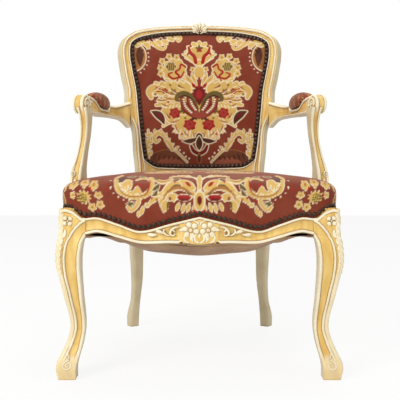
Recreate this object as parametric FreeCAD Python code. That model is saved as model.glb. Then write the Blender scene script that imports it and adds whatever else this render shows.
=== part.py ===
"""An open armchair with a carved, painted beech frame, cabriole legs, a bowed cartouche back and a sprung,
nailed velvet seat. Millimetres, +X to the sitter's left hand seen from the front, -Y to the front, +Z up.
The origin is on the floor in the middle of the footprint."""
import FreeCAD
import Part
import math
import os
from FreeCAD import Vector

# Driving sizes of the seat frame
SEAT_HALF_FRONT = 316.0       # outer face of the front leg block from the middle
SEAT_CORNER_FRONT = 286.0     # front face of the front leg block ahead of the design datum
LEG_BLOCK = 60.0              # size of the block that the rails are tenoned into
RAIL_TOP = 385.0              # height of the seat frame's upper face
RAIL_BOTTOM = 302.0           # height of the seat frame's lower face
RAIL_THICKNESS = 32.0
RAIL_BOW = 20.0               # how far the middle of the front rail stands ahead of its ends
REBATE = 5.5                  # step above the moulding that takes the nailed edge of the cover
COVE_DEPTH = 5.0              # hollow of the gilded moulding
BEAD = 6.0                    # width of the painted beads beside the hollow
FRONT_SHOULDER = 60.0         # front rail's joint line from the leg's outer face
SIDE_BOW = 1.7                # power of the side rails' swell in plan
REAR_HALF = 206.0             # outer face of the seat frame at the rear stiles
REAR_FACE = 190.0             # depth at which the side rails meet the rear stiles

# Serpentine of the front rail: top and bottom of the moulding
RAIL_EDGE_TOP = 362.0
RAIL_PEAK_TOP, RAIL_PEAK_AT = 364.0, 228.0
RAIL_DIP_TOP, RAIL_DIP_AT = 335.0, 132.0
RAIL_CREST_TOP = 367.0
RAIL_ARCH_BOTTOM = 331.0
RAIL_DIP_BOTTOM = 307.5
RAIL_CREST_BOTTOM = 305.5
SIDE_PEAK_TOP, SIDE_DIP_TOP, SIDE_END_TOP = 363.0, 343.0, 356.0
SIDE_ARCH_BOTTOM, SIDE_DIP_BOTTOM, SIDE_END_BOTTOM = 331.0, 312.0, 322.0

# Front cabriole leg: heights, sizes, and swing of the outer faces from the block
SOLE_SIZE, SOLE_SWING = 40.0, 2.0
TOE_HEIGHT, TOE_SIZE, TOE_SWING = 30.0, 45.0, 6.0
INSTEP_HEIGHT, INSTEP_SIZE, INSTEP_SWING = 78.0, 37.0, -14.0
ANKLE_HEIGHT, ANKLE_SIZE, ANKLE_SWING = 118.0, 33.0, -22.5
CALF_HEIGHT, CALF_SIZE, CALF_SWING = 190.0, 42.0, -8.0
KNEE_HEIGHT, KNEE_SIZE, KNEE_SWING = 262.0, 53.5, 6.5
THIGH_HEIGHT, THIGH_SIZE, THIGH_SWING = 305.0, 56.0, 5.0
LEG_COVE = 3.5
EAR_PEAK, EAR_PEAK_AT = 384.0, 16.0     # arched ear on the knee, its top and its place from the outer face
EAR_FOOT = 361.0

# Bowed back: a sheet of radius BACK_RADIUS, leaned back by BACK_LEAN
BACK_RADIUS = 430.0
BACK_LEAN = 11.0
BACK_DATUM_Y, BACK_DATUM_Z = 215.0, 400.0
BACK_THICKNESS = 32.0
BACK_REBATE_WIDTH, BACK_REBATE_DEPTH = 14.0, 5.0
BACK_COVE = 3.5
INNER_BEAD, MAIN_BEAD = 4.0, 9.0
CREST_JOINT = 372.0
SHELL_LOBES, SHELL_RADIUS, SHELL_HEIGHT = 5, 24.0, 487.0
LOWER_RAIL_BOTTOM, LOWER_RAIL_TOP = 24.0, 62.0
LOWER_CORNER_RISE, LOWER_CORNER_START = 30.0, 0.68
STILE_AT_SEAT = 165.0                  # inner edge of the stile where it leaves the seat
STILE_LEG_SIZE = 33.0
REAR_ANKLE_HEIGHT, REAR_ANKLE_SIZE = 80.0, 23.0
REAR_FOOT_SIZE = 27.0
REAR_FOOT_X, REAR_FOOT_Y = 195.0, 256.0
REAR_KNEE_X, REAR_KNEE_Y, REAR_KNEE_HEIGHT = 180.0, 196.0, 235.0

# Arms
ARM_THICKNESS = 32.0
ARM_BOTTOM, ARM_DEPTH = 603.0, 35.0
ARM_TOP = ARM_BOTTOM + ARM_DEPTH
ARM_PAD_SEAT = ARM_BOTTOM + 18.0       # top of the wood under the arm pad
SCROLL_RADIUS, SCROLL_DROP = 23.0, 13.0
SCROLL_HEIGHT = ARM_TOP - SCROLL_DROP  # middle of the knuckle
SCROLL_Y = -178.0
SCROLL_WIDTH = 28.0
TOE_OUT_ANGLE = 20.0                   # outward turn of the arm fronts and their supports
SUPPORT_FOOT_Y = -150.0
SUPPORT_FOOT_WIDTH, SUPPORT_WAIST_WIDTH, SUPPORT_TOP_WIDTH = 29.0, 19.0, 25.0
SUPPORT_HEAD = 8.0                     # the support ends this far below the middle of the knuckle
PAD_FRONT, PAD_REAR = -128.0, 62.0
PAD_TOP, PAD_WIDTH = ARM_TOP + 23.0, 46.0

# Upholstery
COVER = 2.2                            # velvet with its lining
CLEAR = 0.3                            # gap between soft pieces and their neighbours
SEAT_EDGE, SEAT_CROWN = 430.0, 462.0
SEAT_RISE = SEAT_CROWN - SEAT_EDGE
SEAT_CORNER_RADIUS = 40.0
SEAT_REAR_CORNER_RADIUS = 24.0
SEAT_REAR = 196.0
SKIRT_INSET = 3.0                      # nailed edge of the cover inside the frame's faces
BACK_CROWN, BACK_SWELL_RUN = 24.0, 130.0
BACK_LATTICE = 32.0                    # spacing of the upright facets of the back's layers
HESSIAN = 1.5
WEB_WIDTH, WEB_THICKNESS, WEB_SAG = 55.0, 2.0, 34.0
BOTTOM_CLOTH, BOTTOM_SAG = 1.5, 44.0
SPRING_RADIUS, SPRING_WAIST, SPRING_WIRE, SPRING_TURNS = 34.0, 24.0, 3.6, 3
NAIL_HEAD, NAIL_PITCH, NAIL_HEIGHT = 10.6, 11.6, 3.6

# Joints
TENON_LENGTH, TENON_THICKNESS, TENON_HEIGHT = 26.0, 10.0, 34.0
TENON_CLEARANCE = 0.2
SCREW_RADIUS, SCREW_LENGTH = 2.4, 45.0


def smooth(knots, at):
    """Value at a place on the curve through (place, value) knots, with a Catmull-Rom slope at each knot."""
    last = len(knots) - 1
    if at <= knots[0][0]:
        return knots[0][1]
    if at >= knots[last][0]:
        return knots[last][1]
    i = max(k for k in range(last) if knots[k][0] <= at)
    (x0, v0), (x1, v1) = knots[i], knots[i + 1]

    def slope(k):
        low, high = max(k - 1, 0), min(k + 1, last)
        return (knots[high][1] - knots[low][1]) / (knots[high][0] - knots[low][0])

    span = x1 - x0
    t = (at - x0) / span
    rise = v1 - v0
    bend = slope(i) * span - rise
    unbend = rise - slope(i + 1) * span
    return v0 + rise * t + t * (1 - t) * (bend * (1 - t) + unbend * t)


def between(stations, parts):
    """The stations with parts - 1 more in each span, on smooth curves through their numbers by the first one."""
    keys = [s[0] for s in stations]
    found = []
    for low, high in zip(keys, keys[1:]):
        found += [low + (high - low) * k / parts for k in range(parts)]
    columns = [[(s[0], s[c]) for s in stations] for c in range(1, len(stations[0]))]
    if keys[0] > keys[-1]:
        columns = [c[::-1] for c in columns]
    return [(key,) + tuple(smooth(c, key) for c in columns) for key in found + keys[-1:]]


def ring(points):
    return Part.makePolygon([Vector(*p) for p in points] + [Vector(*points[0])])


def panel(corners):
    """Flat face on four corners, or where they don't lie in one plane, two triangles along the shorter diagonal."""
    a, b, c, d = corners
    normal = (b - a).cross(c - a)
    if normal.Length > 1e-6 and abs((d - a).dot(normal.normalize())) < 1e-5:
        return [Part.Face(Part.makePolygon([a, b, c, d, a]))]
    found = []
    shorter = (c - a).Length <= (d - b).Length
    for p, q, r in ((a, b, c), (a, c, d)) if shorter else ((a, b, d), (b, c, d)):
        if (q - p).cross(r - p).Length > 1e-6:
            found.append(Part.Face(Part.makePolygon([p, q, r, p])))
    return found


def skin(sections):
    """Loft in straight facets: a closed solid through closed sections of the same number of points."""
    rings = [[Vector(*p) for p in section] for section in sections]
    faces = [Part.Face(Part.makePolygon(r + r[:1])) for r in (rings[0], rings[-1])]
    for low, high in zip(rings, rings[1:]):
        for k in range(len(low)):
            n = (k + 1) % len(low)
            faces += panel((low[k], low[n], high[n], high[k]))
    shell = Part.makeShell(faces)
    shell.sewShape()
    solid = Part.makeSolid(shell.Shells[0] if shell.ShapeType != "Shell" else shell)
    if solid.Volume < 0:
        solid.reverse()
    return solid


def mirrored(shape):
    return shape.mirror(Vector(0, 0, 0), Vector(1, 0, 0))


def box(low, high):
    size = [b - a for a, b in zip(low, high)]
    return Part.makeBox(size[0], size[1], size[2], Vector(*low))


def back_point(u, v, w=0.0):
    """Point of the bowed, leaned back: u across it, v up it, w out of its front face."""
    turn = u / BACK_RADIUS
    across = (BACK_RADIUS - w) * math.sin(turn)
    ahead = -BACK_RADIUS * (1 - math.cos(turn)) - w * math.cos(turn)
    lean = math.radians(BACK_LEAN)
    y = ahead * math.cos(lean) + v * math.sin(lean)
    z = v * math.cos(lean) - ahead * math.sin(lean)
    return across, BACK_DATUM_Y + y, BACK_DATUM_Z + z


def rail_front(x):
    """Front face of the front rail and of the seat, ahead of the datum, at x."""
    end = SEAT_HALF_FRONT - FRONT_SHOULDER
    return SEAT_CORNER_FRONT - 2 + RAIL_BOW * (1 - (x / end) ** 2)


def side_face(y):
    """Outer face of the side rails and of the seat, from the middle, at depth y."""
    front = -SEAT_CORNER_FRONT + LEG_BLOCK
    t = max(0.0, (y - front) / (REAR_FACE - front))
    return SEAT_HALF_FRONT - 2 - (SEAT_HALF_FRONT - 2 - REAR_HALF) * t ** SIDE_BOW


# Front legs

def front_leg_section(height, size, swing, cove):
    """Square section with a gilded hollow on its front and outer faces and a rounded corner between them."""
    out = SEAT_HALF_FRONT + swing
    front = SEAT_CORNER_FRONT + swing
    chamfer, bead, inner = 0.12 * size, 0.28 * size, 0.84 * size
    face = [(chamfer, 0), (bead, 0), (bead + 0.06 * size, cove), (inner - 0.06 * size, cove), (inner, 0),
            (size - 2, 0), (size, 2)]
    across = [(out - p, -front + q) for p, q in face]
    along = [(out - q, -front + p) for p, q in reversed(face)]
    corner = [(out - size, -front + size - 4), (out - size + 4, -front + size)]
    return [(x, y, height) for x, y in across + corner + along]


def leg_stations():
    """Height, size, swing and hollow of the front leg's sections, from the floor up."""
    arch = RAIL_ARCH_BOTTOM - 8
    return [
        (0, SOLE_SIZE, SOLE_SWING, 0.2),
        (TOE_HEIGHT, TOE_SIZE, TOE_SWING, 0.2),
        (INSTEP_HEIGHT, INSTEP_SIZE, INSTEP_SWING, LEG_COVE),
        (ANKLE_HEIGHT, ANKLE_SIZE, ANKLE_SWING, LEG_COVE),
        (CALF_HEIGHT, CALF_SIZE, CALF_SWING, LEG_COVE),
        (KNEE_HEIGHT, KNEE_SIZE, KNEE_SWING, LEG_COVE),
        (THIGH_HEIGHT, THIGH_SIZE, THIGH_SWING, LEG_COVE),
        (arch, LEG_BLOCK, 1.0, LEG_COVE),
    ]


def ear_height(d):
    """Top of the moulded edge on the leg block at a distance d from the block's corner."""
    return smooth([(0, EAR_PEAK - 6), (8, EAR_PEAK - 1.5), (EAR_PEAK_AT, EAR_PEAK), (34, EAR_PEAK - 7),
                   (50, EAR_FOOT + 3), (LEG_BLOCK, EAR_FOOT + 1)], d)


def edge_front(x):
    """Top of the moulded edge along the front at x."""
    corner = SEAT_HALF_FRONT - abs(x)
    return ear_height(max(corner, 0)) if corner < FRONT_SHOULDER else front_rail_edges(abs(x))[1]


def edge_side(y):
    """Top of the moulded edge along the side at depth y."""
    corner = y + SEAT_CORNER_FRONT
    if corner < LEG_BLOCK:
        return ear_height(max(corner, 0))
    return side_rail_edges(min(1.0, (corner - LEG_BLOCK) / (REAR_FACE + 14 - LEG_BLOCK + SEAT_CORNER_FRONT)))[1]


def edge_prism(where, level, lift=0.0):
    """Space between the moulded edge, raised by lift, and a level: at the front, beside the corner or the side."""
    if where == "front":
        half = [0, 30, 60, 85, 108, RAIL_DIP_AT, 156, 180, 204, RAIL_PEAK_AT]
        half += [SEAT_HALF_FRONT - d for d in (60, 50, 42, 34, 26, 16, 8, 0, -24)]
        points = [Vector(x, -400, edge_front(x) + lift) for x in [-x for x in reversed(half[1:])] + half]
        direction = Vector(0, 400 - SEAT_CORNER_FRONT + 16, 0)
    elif where == "corner":
        places = [d - SEAT_CORNER_FRONT for d in (-34, 0, 8, 16, 26, 34, 42, 50, LEG_BLOCK)]
        points = [Vector(SEAT_HALF_FRONT - 16, y, edge_side(y) + lift) for y in places]
        direction = Vector(100, 0, 0)
    else:
        places = [LEG_BLOCK - SEAT_CORNER_FRONT, -180, -130, -80, -20, 40, 100, 150, 204, 240]
        points = [Vector(REAR_HALF - 20, y, edge_side(y) + lift) for y in places]
        direction = Vector(200, 0, 0)
    ends = [Vector(points[-1].x, points[-1].y, level), Vector(points[0].x, points[0].y, level)]
    return Part.Face(Part.makePolygon(points + ends + [points[0]])).extrude(direction)


def seat_core(inset, low, high):
    """Upright prism inside the seat's plan outline."""
    return Part.Face(seat_ring(inset, low)).extrude(Vector(0, 0, high - low))


def front_leg():
    stations = leg_stations()
    leg = skin([front_leg_section(*s) for s in between(stations, 2)])
    top = stations[-1]
    block = skin([front_leg_section(top[0], top[1], top[2], top[3]),
                  front_leg_section(RAIL_TOP, LEG_BLOCK, 0.0, LEG_COVE)])
    leg = leg.fuse(block)
    above = edge_prism("front", RAIL_TOP + 30).fuse(edge_prism("corner", RAIL_TOP + 30))
    leg = leg.cut(above.cut(seat_core(REBATE, EAR_FOOT - 30, RAIL_TOP + 40)))
    for mortise in (front_tenon(TENON_CLEARANCE), side_tenon(TENON_CLEARANCE)):
        leg = leg.cut(mortise)
    return leg.removeSplitter()


def front_tenon(grow=0.0):
    """Tenon of the front rail into the right front leg."""
    shoulder = SEAT_HALF_FRONT - FRONT_SHOULDER
    y = -rail_front(shoulder) + REBATE + 6
    z = (RAIL_TOP + EAR_FOOT) / 2 - 24
    return box((shoulder - 4 * (grow == 0), y - grow, z - TENON_HEIGHT / 2 - grow),
               (shoulder + TENON_LENGTH + grow, y + TENON_THICKNESS + grow, z + TENON_HEIGHT / 2 + grow))


def side_tenon(grow=0.0):
    """Tenon of the side rail into the right front leg, lower than the front rail's so that they pass."""
    shoulder = -SEAT_CORNER_FRONT + LEG_BLOCK
    x = SEAT_HALF_FRONT - 2 - REBATE - 6 - TENON_THICKNESS
    z = (RAIL_TOP + EAR_FOOT) / 2 - 24
    length = TENON_LENGTH - 6
    return box((x - grow, shoulder - length - grow, z - TENON_HEIGHT / 2 - grow),
               (x + TENON_THICKNESS + grow, shoulder + 4 * (grow == 0), z + TENON_HEIGHT / 2 + grow))


# Seat rails

def rail_section(face, low, high, along):
    """Section of a moulded rail: face is the depth of its front face, along turns (depth, height) into a point."""
    middle = (low + high) / 2
    outline = [
        (14, RAIL_BOTTOM), (12, low + 1), (2, low), (0, low + 3), (0.6, low + BEAD), (COVE_DEPTH, low + BEAD + 3.5),
        (COVE_DEPTH + 1, middle), (COVE_DEPTH, high - BEAD - 2.5), (0.6, high - BEAD + 1), (0, high - 2),
        (REBATE, high), (REBATE, RAIL_TOP), (RAIL_THICKNESS, RAIL_TOP), (RAIL_THICKNESS, RAIL_BOTTOM),
    ]
    return [along(face + depth, height) for depth, height in outline]


def front_rail_edges(x):
    """Bottom and top of the front rail's moulding at a distance x from the middle."""
    end = SEAT_HALF_FRONT - FRONT_SHOULDER
    top = smooth([(0, RAIL_CREST_TOP), (RAIL_DIP_AT / 2, (RAIL_CREST_TOP + RAIL_DIP_TOP) / 2),
                  (RAIL_DIP_AT, RAIL_DIP_TOP), ((RAIL_DIP_AT + RAIL_PEAK_AT) / 2, (RAIL_DIP_TOP + RAIL_PEAK_TOP) / 2),
                  (RAIL_PEAK_AT, RAIL_PEAK_TOP), (end, RAIL_EDGE_TOP)], x)
    low = smooth([(0, RAIL_CREST_BOTTOM), (RAIL_DIP_AT * 0.5, RAIL_CREST_BOTTOM + 3), (RAIL_DIP_AT, RAIL_DIP_BOTTOM),
                  ((RAIL_DIP_AT + RAIL_PEAK_AT) / 2, (RAIL_DIP_BOTTOM + RAIL_ARCH_BOTTOM) / 2),
                  (RAIL_PEAK_AT, RAIL_ARCH_BOTTOM), (end, RAIL_ARCH_BOTTOM - 5)], x)
    return low, top


def front_rail():
    end = SEAT_HALF_FRONT - FRONT_SHOULDER
    places = [0, 30, 60, 85, 108, RAIL_DIP_AT, 156, 180, 204, RAIL_PEAK_AT, end]
    places = [-p for p in reversed(places[1:])] + places
    sections = []
    for x in places:
        low, high = front_rail_edges(abs(x))
        sections.append(rail_section(-rail_front(x), low, high, lambda y, z, x=x: (x, y, z)))
    rail = skin(sections)
    tenon = front_tenon()
    return rail.fuse(tenon).fuse(mirrored(tenon)).removeSplitter()


def side_rail_edges(t):
    low = smooth([(0, SIDE_ARCH_BOTTOM - 3), (0.12, SIDE_ARCH_BOTTOM), (0.5, SIDE_DIP_BOTTOM), (1, SIDE_END_BOTTOM)], t)
    top = smooth([(0, SIDE_PEAK_TOP), (0.12, SIDE_PEAK_TOP), (0.5, SIDE_DIP_TOP), (1, SIDE_END_TOP)], t)
    return low, top


def side_rail(stile):
    """Right side rail, from the front leg back to the stile that it is scribed to."""
    front = -SEAT_CORNER_FRONT + LEG_BLOCK
    back = REAR_FACE + 14
    sections = []
    for t in (0, 0.1, 0.2, 0.32, 0.44, 0.56, 0.68, 0.8, 0.9, 1):
        y = front + (back - front) * t
        slope = (side_face(y + 1) - side_face(y - 1)) / 2
        length = math.hypot(1, slope)
        normal = (1 / length, -slope / length)
        if t == 0:
            normal = (1.0, 0.0)
        low, high = side_rail_edges(t)
        x = side_face(y)
        sections.append(rail_section(0, low, high, lambda d, z, x=x, y=y, n=normal: (x - d * n[0], y - d * n[1], z)))
    rail = skin(sections)
    return rail.cut(stile).fuse(side_tenon()).removeSplitter()


def rear_rail(stile):
    """Plain rail between the stiles, bowed like the back."""
    middle = SEAT_REAR + 2
    radius = BACK_RADIUS
    centre = Vector(0, middle - radius, RAIL_BOTTOM)
    ring_solid = Part.makeCylinder(radius + RAIL_THICKNESS - 6, RAIL_TOP - RAIL_BOTTOM, centre).cut(
        Part.makeCylinder(radius, RAIL_TOP - RAIL_BOTTOM, centre))
    rail = ring_solid.common(box((-178, 0, 0), (178, middle + 60, RAIL_TOP)))
    return largest(rail.cut(both(stile)))


# Rear legs with their stiles

def stile_edges(v):
    """Inner and outer edge of the stile's front face at height v up the back."""
    inner = smooth([(0, STILE_AT_SEAT - 12), (60, STILE_AT_SEAT - 7), (99, STILE_AT_SEAT), (136, STILE_AT_SEAT + 6),
                    (202, 179), (228, 182), (288, 189), (333, 199), (372, 207.5)], v)
    outer = smooth([(0, 178), (60, 180), (100, 185), (150, 189), (175, 193), (205, 206), (240, 213), (262, 214),
                    (283, 215), (320, 224), (372, 234)], v)
    return inner, outer


def stile_section(v):
    inner, outer = stile_edges(v)
    cove_low, cove_high = inner + INNER_BEAD + 1.5, outer - MAIN_BEAD - 1.5
    outline = [
        (inner - BACK_REBATE_WIDTH, -BACK_REBATE_DEPTH), (inner, -BACK_REBATE_DEPTH), (inner, -0.5),
        (inner + INNER_BEAD, 0), (cove_low, -BACK_COVE), (cove_high, -BACK_COVE), (outer - MAIN_BEAD, 0), (outer - 2, 0),
        (outer, -3), (outer, -BACK_THICKNESS + 3), (outer - 3, -BACK_THICKNESS),
        (inner - BACK_REBATE_WIDTH, -BACK_THICKNESS),
    ]
    return [back_point(u, v, w) for u, w in outline]


def rear_leg_section(height, x, y, size, turn):
    """Plain chamfered square of the lower rear leg with as many points as the stile."""
    half = size / 2
    c = 0.12 * size
    outline = [
        (-half, -half + c), (-half + c, -half), (-0.3 * size, -half), (-0.15 * size, -half), (0, -half),
        (0.12 * size, -half), (0.24 * size, -half), (half - c, -half), (half, -half + c), (half, half - c),
        (half - c, half), (-half, half),
    ]
    s, k = math.sin(math.radians(turn)), math.cos(math.radians(turn))
    return [(x + p * k + q * s, y - p * s + q * k, height) for p, q in outline]


def rear_leg():
    """Right rear leg and stile in one piece, from the floor to the crest rail."""
    turn = math.degrees(STILE_AT_SEAT / BACK_RADIUS) + 4
    lower = [
        (0, REAR_FOOT_X, REAR_FOOT_Y, REAR_FOOT_SIZE, turn + 8),
        (REAR_ANKLE_HEIGHT * 0.4, REAR_FOOT_X - 1, REAR_FOOT_Y - 5, REAR_FOOT_SIZE + 1, turn + 8),
        (REAR_ANKLE_HEIGHT, REAR_FOOT_X - 9, REAR_FOOT_Y - 22, REAR_ANKLE_SIZE, turn + 6),
        (REAR_ANKLE_HEIGHT + 65, REAR_KNEE_X, (REAR_KNEE_Y + REAR_FOOT_Y) / 2 - 12, REAR_ANKLE_SIZE + 4, turn + 3),
        (REAR_KNEE_HEIGHT, REAR_KNEE_X, REAR_KNEE_Y, STILE_LEG_SIZE, turn),
        (RAIL_BOTTOM + 5, REAR_KNEE_X - 2, REAR_KNEE_Y - 1, STILE_LEG_SIZE + 5, turn),
        (RAIL_TOP, REAR_KNEE_X - 7, REAR_KNEE_Y + 4, STILE_LEG_SIZE + 3, turn),
    ]
    sections = [rear_leg_section(*s) for s in between(lower, 2)]
    sections += [stile_section(v) for v in (45, 80, 115, 145, 168, 188, 208, 228, 250, 275, 300, 325, 350, CREST_JOINT)]
    leg = skin(sections)
    tenon = crest_tenon(TENON_CLEARANCE)
    return leg.cut(tenon)


# Crest rail and lower back rail

def crest_stations():
    """Inner and outer outline points (u, v) of the crest rail's right half, from the joint to the middle."""
    joint_inner, joint_outer = stile_edges(CREST_JOINT)
    return [
        ((joint_inner, CREST_JOINT), (joint_outer, CREST_JOINT)),
        ((209.5, 388), (236, 389)),
        ((210, 405), (236, 408)),
        ((208, 421), (230, 430)),
        ((203, 430), (221, 444)),
        ((194, 438), (208, 455)),
        ((180, 447), (191, 466)),
        ((160, 455), (167, 475)),
        ((128, 464.5), (133, 484)),
        ((95, 471), (98, 490)),
        ((60, 475), (62, 494)),
        ((0, 478), (0, 497)),
    ]


def crest_section(inner, outer):
    du, dv = outer[0] - inner[0], outer[1] - inner[1]
    width = math.hypot(du, dv)
    du, dv = du / width, dv / width
    outline = [
        (-BACK_REBATE_WIDTH, -BACK_REBATE_DEPTH), (0, -BACK_REBATE_DEPTH), (0, -0.5), (INNER_BEAD, 0),
        (INNER_BEAD + 1.5, -BACK_COVE), (width - MAIN_BEAD - 1.5, -BACK_COVE), (width - MAIN_BEAD, 0), (width - 2, 0),
        (width, -3), (width, -BACK_THICKNESS + 3), (width - 3, -BACK_THICKNESS),
        (-BACK_REBATE_WIDTH, -BACK_THICKNESS),
    ]
    return [back_point(inner[0] + du * s, inner[1] + dv * s, w) for s, w in outline]


def crest_tenon(grow=0.0):
    """Tenon of the crest rail down into the right stile."""
    inner, outer = stile_edges(CREST_JOINT)
    u = (inner - BACK_REBATE_WIDTH + outer) / 2
    low, high = CREST_JOINT - TENON_LENGTH - grow, CREST_JOINT + 4 * (grow == 0) + 3 * (grow > 0)
    half_u, w = 9 + grow, (-BACK_THICKNESS - 8) / 2
    corners = [(u - half_u, w - 4 - grow), (u + half_u, w - 4 - grow), (u + half_u, w + 4 + grow), (u - half_u, w + 4 + grow)]
    return skin([[back_point(p, low, q) for p, q in corners], [back_point(p, high, q) for p, q in corners]])


def crest_rail():
    right = [crest_section(a, b) for a, b in crest_stations()]
    left = [[(-x, y, z) for x, y, z in s] for s in right[:-1]]
    rail = skin(right + left[::-1])
    tenon = crest_tenon()
    return rail.fuse(tenon).fuse(mirrored(tenon)).fuse(crest_shell()).removeSplitter()


def crest_shell():
    """Carved shell in the middle of the crest: a lobed plaque standing above and ahead of the rail."""
    outline = [(-SHELL_RADIUS, -8)]
    for k in range(SHELL_LOBES):
        start = 180 - 180 * k / SHELL_LOBES
        for part in (0.5, 1.0):
            a = math.radians(start - 180 / SHELL_LOBES * part)
            reach = SHELL_RADIUS * (1.16 if part == 0.5 else 1.0)
            outline.append((reach * math.cos(a), 0.8 * reach * math.sin(a)))
    outline.append((SHELL_RADIUS, -8))
    layers = []
    for w, scale in ((-BACK_THICKNESS + 8, 1.0), (3.0, 1.0), (7.0, 0.55)):
        layer = []
        for u, v in outline:
            x, y, z = back_point(0, SHELL_HEIGHT + v * scale, w)
            layer.append((x + u * scale, y, z))
        layers.append(layer)
    return skin(layers)


def lower_back_rail(stile):
    """Rail under the back's upholstery; its ends rise to round the lower corners."""
    sections = []
    for share in (-1, -0.9, -0.8, -LOWER_CORNER_START, -0.35, 0, 0.35, LOWER_CORNER_START, 0.8, 0.9, 1):
        u = share * (STILE_AT_SEAT + 4)
        top = lower_rail_top(u)
        low = LOWER_RAIL_BOTTOM
        outline = [
            (low + 3, -2), (low + 9, 0), (low + 12, -BACK_COVE), (top - INNER_BEAD - 2, -BACK_COVE),
            (top - INNER_BEAD, 0), (top, -0.5), (top, -BACK_REBATE_DEPTH), (top + BACK_REBATE_WIDTH, -BACK_REBATE_DEPTH),
            (top + BACK_REBATE_WIDTH, -BACK_THICKNESS + 4), (low, -BACK_THICKNESS + 4), (low, -5),
        ]
        sections.append([back_point(u, v, w) for v, w in outline])
    return largest(skin(sections).cut(both(stile)))


# Arms and their supports

def arm_stations():
    """Inner face (x, y), heading, thickness, bottom and top of the arm's sections, from the stile forwards."""
    return [
        (198.0, 201.0, 34.0, 30, ARM_BOTTOM - 25, ARM_TOP + 14),
        (217.0, 189.0, 36.0, 30, ARM_BOTTOM - 5, ARM_TOP + 7),
        (233.0, 171.0, 55.0, 30, ARM_BOTTOM + 1, ARM_TOP + 2),
        (241.0, 146.0, 80.0, 30, ARM_BOTTOM + 2, ARM_TOP),
        (242.0, PAD_REAR + 34, 91.0, 31, ARM_BOTTOM + 1, ARM_TOP - 1),
        (241.0, PAD_REAR + 4, 91.0, ARM_THICKNESS, ARM_BOTTOM, ARM_TOP - 4),
        (240.0, PAD_REAR - 22, 89.0, ARM_THICKNESS, ARM_BOTTOM - 1, ARM_PAD_SEAT + 2),
        (242.0, -20.0, 86.0, ARM_THICKNESS + 1, ARM_BOTTOM - 2, ARM_PAD_SEAT),
        (247.0, PAD_FRONT + 34, 81.0, ARM_THICKNESS, ARM_BOTTOM - 2, ARM_PAD_SEAT + 2),
        (253.0, PAD_FRONT - 2, 76.0, 30, ARM_BOTTOM - 1, ARM_TOP),
        (260.5, SCROLL_Y + 22, 72.0, SCROLL_WIDTH, ARM_BOTTOM, SCROLL_HEIGHT + SCROLL_RADIUS - 4),
        (268.0, SCROLL_Y, 90 - TOE_OUT_ANGLE, SCROLL_WIDTH, SCROLL_HEIGHT - SCROLL_RADIUS + 2,
         SCROLL_HEIGHT + SCROLL_RADIUS - 1),
    ]


def arm_section(x, y, heading, thickness, low, high):
    """Section across the arm. The hollow runs on its inner face; heading 90 points straight forwards."""
    a = math.radians(heading)
    outward = (math.sin(a), math.cos(a))
    middle = (low + high) / 2
    outline = [
        (2, low), (0, low + 2), (0, low + 6), (2.2, low + 8.5), (2.6, middle), (2.2, high - 8.5), (0, high - 6),
        (0, high - 2), (2, high), (thickness - 4, high), (thickness, high - 5), (thickness, low + 5),
        (thickness - 4, low),
    ]
    return [(x + d * outward[0], y + d * outward[1], z) for d, z in outline]


def scroll():
    """Knuckle of the right arm: a drum across the arm's end."""
    a = math.radians(90 - TOE_OUT_ANGLE)
    outward = Vector(math.sin(a), math.cos(a), 0)
    x, y = 268.0, SCROLL_Y
    return Part.makeCylinder(SCROLL_RADIUS, SCROLL_WIDTH, Vector(x, y, SCROLL_HEIGHT), outward)


def arm(stile):
    """Right arm, scribed to the stile."""
    body = skin([arm_section(*s) for s in arm_stations()])
    return body.fuse(scroll()).cut(stile)


def support_stations():
    """Height, centre of the front face, width and depth of the arm support, from the rail up."""
    rise = SCROLL_HEIGHT - SUPPORT_HEAD - RAIL_TOP
    shares = [
        (0, 295.0, SUPPORT_FOOT_Y - 19, SUPPORT_FOOT_WIDTH - 4, 38),
        (0.13, 297.0, SUPPORT_FOOT_Y - 19, SUPPORT_FOOT_WIDTH - 2, 40),
        (0.27, 297.5, SUPPORT_FOOT_Y - 19, SUPPORT_FOOT_WIDTH, 38),
        (0.36, 295.0, SUPPORT_FOOT_Y - 16, SUPPORT_FOOT_WIDTH - 2, 32),
        (0.45, 290.0, SUPPORT_FOOT_Y - 13, SUPPORT_FOOT_WIDTH - 6, 28),
        (0.57, 284.0, SUPPORT_FOOT_Y - 13, SUPPORT_WAIST_WIDTH, 26),
        (0.69, 279.0, SUPPORT_FOOT_Y - 17, SUPPORT_WAIST_WIDTH, 26),
        (0.82, 276.5, SUPPORT_FOOT_Y - 25, SUPPORT_WAIST_WIDTH + 1.5, 28),
        (0.93, 277.0, SUPPORT_FOOT_Y - 38, SUPPORT_TOP_WIDTH - 2, 34),
        (1, 279.5, SUPPORT_FOOT_Y - 47, SUPPORT_TOP_WIDTH, 40),
    ]
    return [(RAIL_TOP + rise * s[0],) + s[1:] for s in shares]


def support_section(height, x, y, width, depth, grow=0.0):
    a = math.radians(TOE_OUT_ANGLE)
    outward, back = (math.cos(a), math.sin(a)), (-math.sin(a), math.cos(a))
    half, near, far, hollow = width / 2 + grow, -grow, depth + grow, 2.2 if grow == 0 else -grow
    outline = [
        (-half, near + 1.5), (-half + 1.5, near), (-half + 4.5, near), (-half + 6, hollow), (half - 6, hollow),
        (half - 4.5, near), (half - 1.5, near), (half, near + 1.5), (half, far - 5), (half - 5, far), (-half + 5, far),
        (-half, far - 5),
    ]
    return [(x + p * outward[0] + q * back[0], y + p * outward[1] + q * back[1], height) for p, q in outline]


def support_tenon(grow=0.0):
    """Tenon of the right arm support down into the side rail."""
    foot = support_stations()[0]
    low, high = RAIL_TOP - TENON_LENGTH - grow, RAIL_TOP + (2 if grow == 0 else grow)
    return box((foot[1] - 11 - grow, foot[2] + 8 - grow, low), (foot[1] + grow, foot[2] + 30 + grow, high))


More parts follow.
